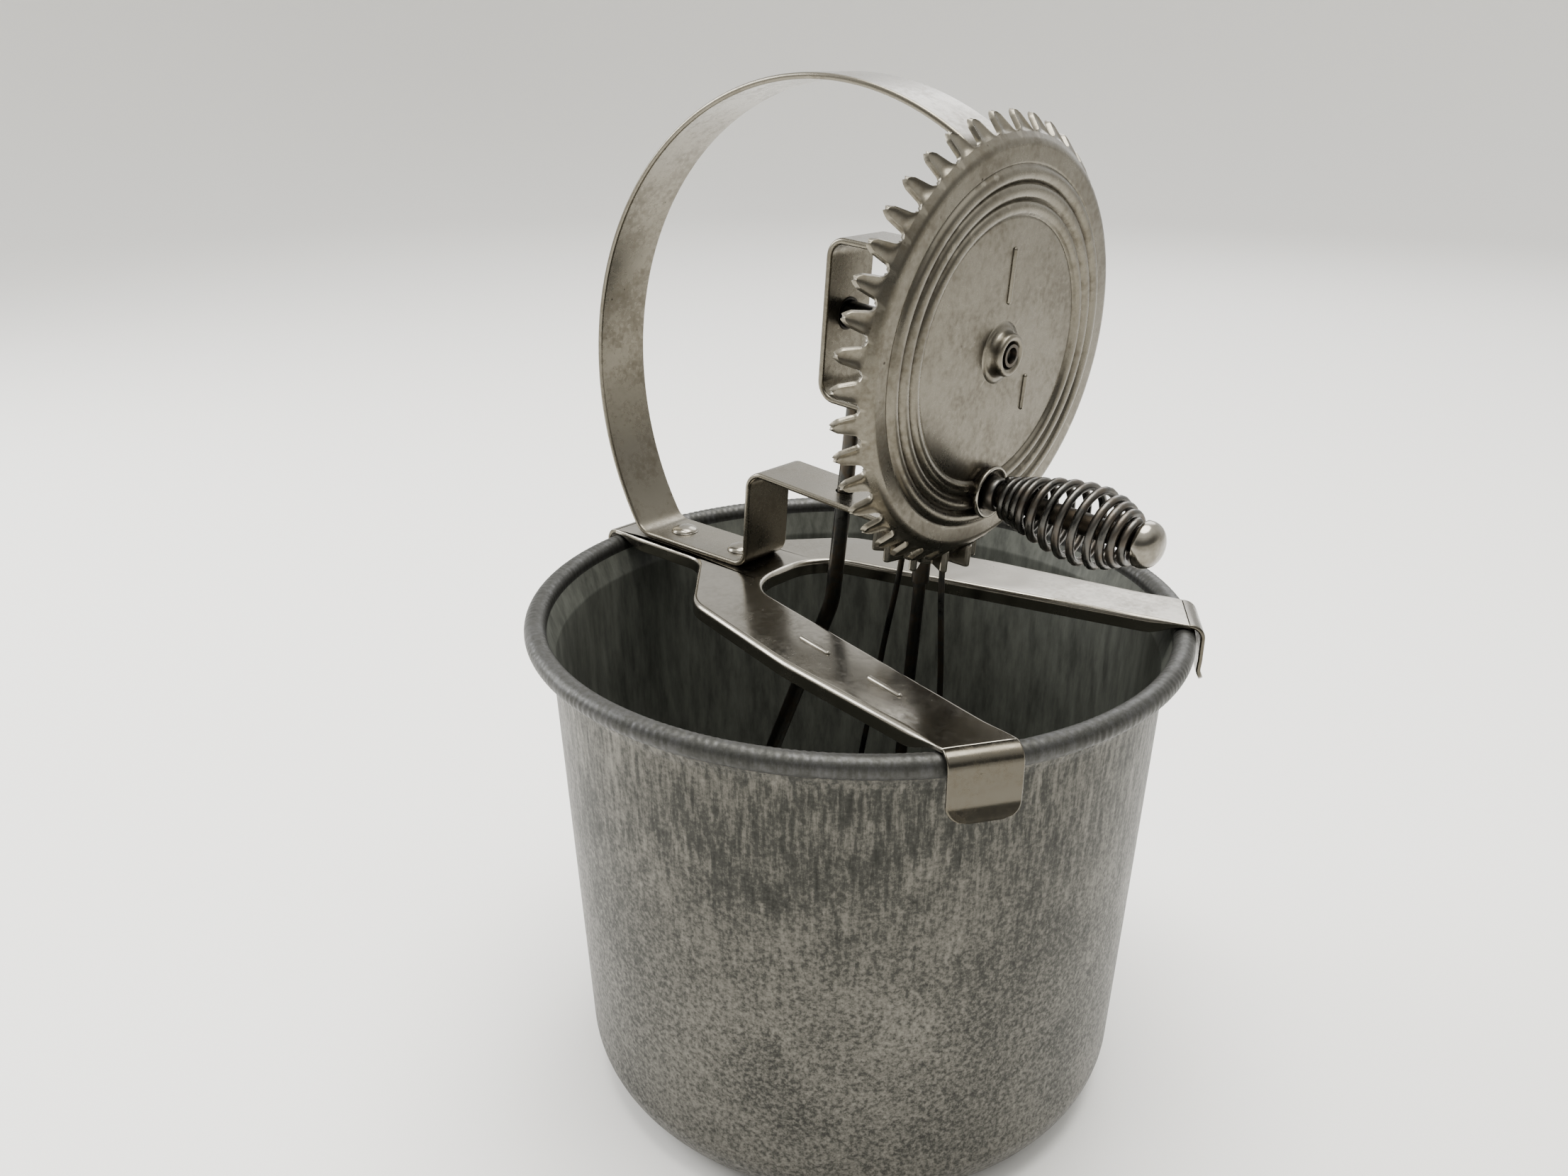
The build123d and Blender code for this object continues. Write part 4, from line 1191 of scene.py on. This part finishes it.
class MIXER_OT_stay(Operator):
    """Fixed rod that runs outside the dasher to its foot bearing"""

    bl_idname = "mixer.stay"
    bl_label = "Stay rod"

    def execute(self, context):
        s = context.scene.mixer_stay
        steel = finish("drawn_steel_rod")
        places = (s.top, s.bend, s.knee, s.heel, (s.toe, s.heel[1]))
        corners = [Vector((u, 0.0, v)) for u, v in places]
        radii = [0, s.knee_radius, s.knee_radius, s.heel_radius, 0]
        path = fill_steps(rounded(corners, radii, step=math.radians(4)), 4 * MM)
        rod = tube("stay", path, s.radius, AT_MECHANISM, 24)
        crisp(rod, 50)
        fit_piece(rod, "mixer", "steel_wire", steel, "stay_rod")
        top = corners[0]
        lean = (top - corners[1]).to_track_quat("Z", "Y").to_matrix().to_4x4()
        button = [(0, 1.05), (1.6, 1.02), (2.3, 0.8), (2.42, 0.5), (2.3, 0.15), (1.5, 0.06), (0, 0.06)]
        head = lathe("stay_head", in_mm(button), AT_MECHANISM @ Matrix.Translation(top) @ lean, 48)
        fit_piece(head, "mixer", "steel_wire", steel)
        dress("foot_bearing", steel)
        return {"FINISHED"}


# ---------------------------------------------------------------- drive wheel
class MIXER_OT_wheel(Operator):
    """Pressed sheet wheel with rolled rings and a rim of fingers bent back to drive the pinion"""

    bl_idname = "mixer.wheel"
    bl_label = "Drive wheel"

    def execute(self, context):
        s = context.scene.mixer_wheel
        nickel = finish("tarnished_nickel_wheel")
        fit_piece(wheel_sheet(s), "drive_wheel", "wheel_nickel", nickel, "drive_wheel")
        stand = Matrix.Rotation(math.pi / 2, 4, "Y")
        for index, (y, z, long) in enumerate(((0.6, 13.0, 9.6), (9.2, -8.6, 6.6))):
            bar = raised_bar(f"wheel_bar_{index + 1}", long * MM)
            place_on_face = Matrix.Translation((s.face - 0.03 * MM, y * MM, z * MM))
            bar.data.transform(AT_AXLE @ place_on_face @ stand)
            fit_piece(bar, "drive_wheel", "wheel_nickel", nickel)
        hub = lathe("hub_boss", hub_profile(s), AT_AXLE, 96, axis="AXLE")
        fit_piece(hub, "drive_wheel", "wheel_nickel", nickel, "hub_eyelet")
        dress("wheel_axle", finish("drawn_steel_rod"))
        dress("hub_sleeve", finish("worn_nickel_strip"))
        return {"FINISHED"}


def wheel_rise(s, r):
    """Height of the pressed face over its flat, at a radius."""
    lines = list(s.beads)
    groove_depth, groove_half = 0.16 * MM, 0.32 * MM
    rise = 0.0
    for outer, inner in zip(lines, lines[1:]):
        middle, half = (outer + inner) / 2, (outer - inner) / 2
        off = abs(r - middle) / half
        if off < 1:
            rise = s.bead_rise * (1 - off**2.4)
    groove = min(abs(r - line) for line in lines)
    return rise - groove_depth * max(0.0, 1 - groove / groove_half)


def wheel_rows(s, corner, tip):
    """The wheel's face as (along, radius), from its bore to the bend that the fingers start from."""
    inner, outer = s.beads[-1] - 0.5 * MM, s.beads[0] + 0.5 * MM
    count = round((outer - inner) / (0.2 * MM))
    radii = [s.bore, s.bore + 0.8 * MM]
    radii += [k * 2 * MM for k in range(2, 11)]
    radii += [inner + (outer - inner) * k / count for k in range(count + 1)]
    roll = rounded([(s.face, outer + 0.4 * MM), corner, tip], [0, 2.0 * MM, 0])
    return [(s.face + wheel_rise(s, r), r) for r in radii] + [(p.x, p.y) for p in roll[:-1]]


def finger_half(s, along, whole, sector):
    """Half a finger's width at a distance down its slant; sector is half its share of the circle."""
    down = along - s.gullet_start
    share = down / (whole - s.gullet_start)
    width = (s.root_width + (s.tip_width - s.root_width) * share) / 2
    if down < s.gullet:
        open_half = math.sqrt(max(0.0, s.gullet**2 - (s.gullet - down) ** 2))
        width = max(width, sector - open_half * (sector - width) / s.gullet)
    end = s.tip_width / 2
    if along > whole - end:
        width = min(width, math.sqrt(max(0.0, end**2 - (along - whole + end) ** 2)))
    return max(width, 0.12 * MM)


def wheel_sheet(s):
    """The wheel's front face as rows of points, thickened to the sheet, with rounded cut edges."""
    bend = math.radians(45)
    per_finger = 12
    pitch = TAU / s.teeth
    half = s.sheet / 2
    corner = Vector((s.face, s.flat_radius + half * math.tan(bend / 2)))
    tip_u = s.face - half - (s.tip_radius - s.flat_radius) + half * math.cos(bend)
    tip = Vector((tip_u, s.tip_radius + half * math.sin(bend)))
    rows = wheel_rows(s, corner, tip)
    n = len(rows)
    columns = s.teeth * per_finger
    verts = []
    for i in range(columns):
        a = TAU * (i / columns) - pitch / 2 + s.phase
        for u, r in rows:
            verts.append((u, r * math.sin(a), r * math.cos(a)))
    faces = grid_faces(columns, n, wrap_outer=True, flip=True)

    whole = (tip - corner).length
    slant = (tip - corner).normalized()
    normal = Vector((slant.y, -slant.x))
    body = whole - s.tip_width / 2
    stops = [s.gullet_start + s.gullet * k for k in (0, 0.06, 0.2, 0.4, 0.65, 1.0)]
    stops += [stops[-1] + (body - stops[-1]) * k / 7 for k in range(1, 8)]
    stops += [body + s.tip_width / 2 * k for k in (0.35, 0.62, 0.82, 0.95, 1.0)]
    for finger in range(s.teeth):
        middle = pitch * finger + s.phase
        radial = Vector((0, math.sin(middle), math.cos(middle)))
        across = Vector((0, math.cos(middle), -math.sin(middle)))
        base = len(verts)
        for row, along in enumerate(stops):
            spot = corner + slant * along
            half_width = finger_half(s, along, whole, pitch / 2 * spot.y)
            grown = min(1.0, (along - s.gullet_start) / s.gullet)
            hollow = s.trough * grown * min(1.0, half_width / (s.root_width / 2))
            for k in range(per_finger + 1):
                x = 2 * k / per_finger - 1
                if row == 0:
                    a = middle + pitch * x / 2
                    verts.append((spot.x, spot.y * math.sin(a), spot.y * math.cos(a)))
                    continue
                trough = hollow * (x * x - 0.6)
                place_on = radial * (spot.y + normal.y * trough) + across * half_width * x
                verts.append((spot.x + normal.x * trough, place_on.y, place_on.z))
        faces += grid_faces(len(stops), per_finger + 1, base=base)
        for k in range(per_finger):
            i = finger * per_finger + k
            j = (i + 1) % columns
            faces.append((i * n + n - 1, base + k, base + k + 1, j * n + n - 1))
    wheel = make_object("wheel", verts, faces, AT_AXLE)
    weld(wheel, 0.01 * MM)
    face_front(wheel)
    thick = wheel.modifiers.new("sheet", "SOLIDIFY")
    thick.thickness = s.sheet
    thick.offset = -1.0
    thick.use_even_offset = False
    soften_edges(wheel, "rolled_edges", 0.2 * MM, 2, 50)
    crisp(wheel, 50)
    return wheel


def face_front(piece):
    """Turns a sheet's faces so that its middle faces along the axle."""
    if sum(f.normal.dot(AXLE) * f.area for f in piece.data.polygons) < 0:
        piece.data.flip_normals()


def hub_profile(s):
    """The raised tubular boss round the axle, as (radius, along)."""
    return in_mm([
        (5.4, 0.0), (4.6, 0.1), (4.1, 0.35), (3.85, 0.8), (3.75, 1.5), (3.7, 2.0), (3.55, 2.3), (3.25, 2.45),
        (2.85, 2.4), (2.5, 2.2), (2.25, 1.8), (2.1, 1.2), (2.06, -0.1), (5.4, -0.1),
    ], s.face)


# ---------------------------------------------------------------- crank grip
class MIXER_OT_grip(Operator):
    """Crank collar, coil grip and domed end cap on the crank pin"""

    bl_idname = "mixer.grip"
    bl_label = "Crank grip"

    def execute(self, context):
        s = context.scene.mixer_grip
        face = context.scene.mixer_wheel.face
        bright = finish("bright_nickel_small")
        collar = lathe("crank_cup", cup_profile(s, face), AT_CRANK, 96, axis="AXLE")
        fit_piece(collar, "drive_wheel", "wheel_nickel", bright, "crank_collar")
        neck = lathe("crank_neck", neck_profile(s, face), AT_CRANK, 64, axis="AXLE")
        fit_piece(neck, "drive_wheel", "wheel_nickel", finish("oiled_spring_steel"), "crank_collar")
        start_u = face + s.collar_length + s.gap
        turns = s.first_turns + s.open_turns + s.last_turns
        steps = 26
        path = [grip_point(s, start_u, k / steps) for k in range(steps * turns + 1)]
        coil = tube("coil_grip", path, s.wire / 2, AT_CRANK, 16)
        crisp(coil, 60)
        fit_piece(coil, "grip", "spring_steel", finish("oiled_spring_steel"), "grip_spring")
        cap_u = start_u + s.coil_length + s.gap
        cap = lathe("grip_cap", cap_profile(s, cap_u), AT_CRANK, 96, axis="AXLE")
        fit_piece(cap, "drive_wheel", "wheel_nickel", bright, "grip_end_cap")
        dress("crank_pin", finish("greased_steel"))
        return {"FINISHED"}


def cup_profile(s, face):
    """A shallow flared cup on the wheel's face, as (radius, along)."""
    lip = s.collar_radius / MM
    return in_mm([
        (2.05, 0.03), (lip - 0.7, 0.03), (lip - 0.65, 0.5), (lip - 0.45, 0.95), (lip - 0.12, 1.3),
        (lip, 1.6), (lip, 1.9), (lip - 0.15, 2.15), (lip - 0.42, 2.15), (lip - 0.75, 1.85),
        (lip - 1.2, 1.5), (2.05, 1.45),
    ], face)


def neck_profile(s, face):
    """The collar's neck, which the coils start from, as (radius, along)."""
    bore, soft = 2.05 * MM, 0.3 * MM
    first, last = face + 1.4 * MM, face + s.collar_length
    return [
        (bore, first), (s.neck_radius, first), (s.neck_radius, last - soft),
        (s.neck_radius - soft, last), (bore, last),
    ]


def cap_profile(s, cap_u):
    """A turned cap with a rolled lip and a dome, as (radius, along)."""
    r, long = s.cap_radius, s.cap_length
    lip = long * 0.22
    bore = 2.02 * MM
    outline = [(bore, 0.0), (r * 0.93, 0.0), (r, 0.25 * MM), (r, lip)]
    for k in range(1, 12):
        a = math.radians(90 * k / 12)
        outline.append((r * math.cos(a) ** 0.85, lip + (long - lip) * math.sin(a)))
    outline += [(0.0, long), (0.0, long * 0.52), (bore, long * 0.52)]
    return [(radius, cap_u + along) for radius, along in outline]


def grip_point(s, start_u, turn):
    """A point on the coil's middle line: close coils at both ends and open coils between."""
    close = s.wire * 1.04
    spare = s.coil_length - s.wire - close * (s.first_turns + s.last_turns)
    pitch = spare / s.open_turns
    along = min(turn, s.first_turns) * close
    along += min(max(turn - s.first_turns, 0), s.open_turns) * pitch
    along += max(turn - s.first_turns - s.open_turns, 0) * close
    radius = coil_radius(s, along / (s.coil_length - s.wire)) - s.wire / 2
    a = TAU * turn
    return Vector((start_u + s.wire / 2 + along, radius * math.sin(a), radius * math.cos(a)))


def coil_radius(s, share):
    """Radius over the coils at a share of the grip's length: slim by the wheel, fullest past its middle."""
    if share < s.widest_share:
        swell = math.sin(math.pi / 2 * share / s.widest_share) ** 1.15
        return s.start_radius + (s.widest_radius - s.start_radius) * swell
    fall = (share - s.widest_share) / (1 - s.widest_share)
    return s.end_radius + (s.widest_radius - s.end_radius) * math.cos(math.pi / 2 * fall)


# ---------------------------------------------------------------- dasher
class MIXER_OT_dasher(Operator):
    """Pinion, shaft and bowed wires that turn in the pot"""

    bl_idname = "mixer.dasher"
    bl_label = "Dasher"

    def execute(self, context):
        s = context.scene.mixer_dasher
        strap = context.scene.mixer_strip
        steel = finish("drawn_steel_rod")
        top = strap.shelf - strap.sheet - 0.62 * MM
        low = top - s.pinion_height
        bright = finish("bright_nickel_small")
        fit_piece(pinion_mesh(s, top, low), "dasher", "pinion_nickel", bright, "dasher_pinion")
        for index, side in enumerate((1, -1)):
            wire = tube(f"dasher_wire_{index + 1}", wire_path(s, low, side), s.wire / 2, AT_SHAFT, 16)
            crisp(wire, 60)
            fit_piece(wire, "dasher", "steel_wire", steel, "dasher_wires")
        r = s.ferrule_radius / MM
        upper = [(r - 0.2, 0.7), (r, 0.9), (r, 2.1), (r - 0.4, 2.5), (1.22, 2.5)]
        band = [(radius, -v) for radius, v in reversed(upper)] + upper
        ferrule = lathe("ferrule", in_mm(band, s.end_v), AT_SHAFT, 64)
        fit_piece(ferrule, "dasher", "steel_wire", steel, "dasher_ferrule")
        for node in ("dasher_shaft", "pinion_sleeve"):
            dress(node, steel)
        for node in ("thrust_washer", "shaft_collar"):
            dress(node, bright)
        return {"FINISHED"}


def pinion_mesh(s, top, low):
    """Ten round-ended pegs round a hub, with softened edges."""
    outline = []
    half = s.tooth_width / 2
    reach = s.tip_radius - half
    wheel = bpy.context.scene.mixer_wheel
    phase = -wheel.phase * wheel.teeth / s.teeth
    foot = math.sqrt(s.root_radius**2 - half**2)
    foot_angle = math.asin(half / s.root_radius)
    gap = TAU / s.teeth - 2 * foot_angle
    for tooth in range(s.teeth):
        middle = TAU * (tooth + 0.5) / s.teeth + phase
        ahead = spoke(middle)
        side = ahead.orthogonal() * half
        outline.append(ahead * foot - side)
        for k in range(9):
            end = spoke(math.radians(-90 + 22.5 * k))
            outline.append(ahead * (reach + half * end.x) + side * end.y)
        outline.append(ahead * foot + side)
        outline += [spoke(middle + foot_angle + gap * k / 4, s.root_radius) for k in (1, 2, 3)]
    n = len(outline)
    verts = [(p.x, p.y, z) for z in (low, top) for p in outline]
    faces = grid_faces(2, n, wrap_inner=True, flip=True) + end_faces(2, n)
    pinion = make_object("pinion", verts, faces, AT_SHAFT)
    soften_edges(pinion, "soft_edges", 0.4 * MM, 3, 60)
    crisp(pinion, 45)
    return pinion


def wire_path(s, low, side):
    """A bowed wire from the pinion down to the ferrule."""
    seat = Vector((s.top_radius, low + 2.0 * MM))
    neck = Vector((s.neck_radius, s.neck_v))
    belly = Vector((s.belly_radius, s.belly_v))
    drop = s.belly_v - s.end_v
    end = Vector((s.ferrule_radius - 0.9 * MM, s.end_v))
    slope = (belly - seat).normalized()
    pull = 14 * MM
    runs = [
        (seat, seat + Vector((0, -9 * MM)), neck - slope * 8 * MM, neck),
        (neck, neck + slope * pull, belly + Vector((0, 18 * MM)), belly),
        (belly, belly + Vector((0, -drop * 0.6)), Vector((s.belly_radius * 0.8, s.end_v)), end),
    ]
    steps = 24
    points = [bezier(*run, k / steps) for run in runs for k in range(steps)] + [end]
    return [Vector((side * p.x, 0, p.y)) for p in points]


# ---------------------------------------------------------------- stage
LAMPS = (
    # name, place and size in metres, power in watts, colour
    ("overhead", (0.0, 0.05, 0.95), 0.7, 17.0, "FFFDF8"),
    ("from_left", (-0.8, -0.35, 0.5), 0.5, 8.0, "FFFFFF"),
    ("from_behind", (-0.3, 0.95, 0.8), 0.7, 6.0, "FDFDFF"),
)


class MIXER_OT_stage(Operator):
    """Pale sweep, soft lights and the camera"""

    bl_idname = "mixer.stage"
    bl_label = "Stage"

    def execute(self, context):
        s = context.scene.mixer_stage
        profile = [(0.0, 0.0), (0.5, 0.0)]
        profile += arc(Vector((s.floor_radius, s.curve)), s.curve, -90, 0, 12)
        sweep = lathe("sweep", profile, closed=False)
        sweep.data.materials.append(finish("pale_paper"))
        for name, spot, size, power, tint in LAMPS:
            lamp = bpy.data.lights.new(name, "AREA")
            lamp.shape = "DISK"
            lamp.size = size
            lamp.energy = power
            lamp.color = linear(tint)
            holder = bpy.data.objects.new(name, lamp)
            holder.location = spot
            aim = Vector((0, 0, s.aim_height)) - Vector(spot)
            holder.rotation_euler = aim.to_track_quat("-Z", "Y").to_euler()
            context.scene.collection.objects.link(holder)
        context.scene.world = room()
        camera = bpy.data.cameras.new("view")
        camera.sensor_width = 36.0
        camera.lens = s.lens
        camera.clip_start = 0.01
        holder = bpy.data.objects.new("view", camera)
        holder.location = RIM + Vector(s.eye)
        holder.rotation_euler = (math.pi / 2 - s.elevation, s.roll, s.azimuth)
        context.scene.collection.objects.link(holder)
        context.scene.camera = holder
        return {"FINISHED"}


def room():
    """A bright ceiling and rear wall, a darker near side for the metal to reflect, and a plain grey
    behind everything."""
    world = bpy.data.worlds.new("studio")
    world.use_nodes = True
    tree = world.node_tree
    way = add(tree, "TexCoord").outputs["Generated"]
    near = add(tree, "VectorMath", {0: way, 1: (0.66, -0.72, 0.0)}, operation="DOT_PRODUCT")
    side = add(
        tree, "MapRange",
        {"Value": near.outputs["Value"], "From Min": -0.4, "From Max": 0.6, "To Min": 1.45, "To Max": 0.24},
        interpolation_type="SMOOTHSTEP",
    )
    height = add(tree, "SeparateXYZ", {"Vector": way}).outputs["Z"]
    ceiling = add(
        tree, "MapRange", {"Value": height, "From Min": 0.35, "From Max": 0.85},
        interpolation_type="SMOOTHSTEP",
    )
    glow = add(tree, "Mix", {"Factor": ceiling, "A": side, "B": 1.6})
    straight = add(tree, "LightPath").outputs["Is Camera Ray"]
    seen = add(tree, "Mix", {"Factor": straight, "A": glow, "B": 0.68})
    feed(tree, tree.nodes["Background"], {"Strength": seen, "Color": opaque(linear("FBFAF6"))})
    return world


# ---------------------------------------------------------------- panel and start
class MIXER_PT_panel(Panel):
    """Lists the mixer's pieces"""

    bl_idname = "MIXER_PT_panel"
    bl_label = "Dasher mixer"
    bl_space_type = "VIEW_3D"
    bl_region_type = "UI"
    bl_category = "Mixer"

    def draw(self, context):
        for operator in OPERATORS:
            self.layout.operator(operator.bl_idname)
        for name in GROUPS:
            box = self.layout.box()
            group = getattr(context.scene, name)
            for prop in group.bl_rna.properties:
                if prop.identifier not in ("rna_type", "name"):
                    box.prop(group, prop.identifier)


GROUPS = {
    "mixer_pot": PotSizes,
    "mixer_yoke": YokeSizes,
    "mixer_strip": StripSizes,
    "mixer_stay": StaySizes,
    "mixer_wheel": WheelSizes,
    "mixer_grip": GripSizes,
    "mixer_dasher": DasherSizes,
    "mixer_stage": StageSizes,
    "mixer_colours": MixerColours,
}
OPERATORS = (
    MIXER_OT_pot,
    MIXER_OT_yoke,
    MIXER_OT_strap,
    MIXER_OT_rear_bracket,
    MIXER_OT_foot_rivets,
    MIXER_OT_stay,
    MIXER_OT_wheel,
    MIXER_OT_grip,
    MIXER_OT_dasher,
    MIXER_OT_stage,
)


def register():
    for name, group in GROUPS.items():
        bpy.utils.register_class(group)
        setattr(bpy.types.Scene, name, PointerProperty(type=group))
    for item in (*OPERATORS, MIXER_PT_panel):
        bpy.utils.register_class(item)


def unregister():
    for item in (MIXER_PT_panel, *reversed(OPERATORS)):
        bpy.utils.unregister_class(item)
    for name, group in GROUPS.items():
        delattr(bpy.types.Scene, name)
        bpy.utils.unregister_class(group)


def main():
    register()
    for operator in OPERATORS:
        family, action = operator.bl_idname.split(".")
        getattr(getattr(bpy.ops, family), action)()


if __name__ == "__main__":
    main()
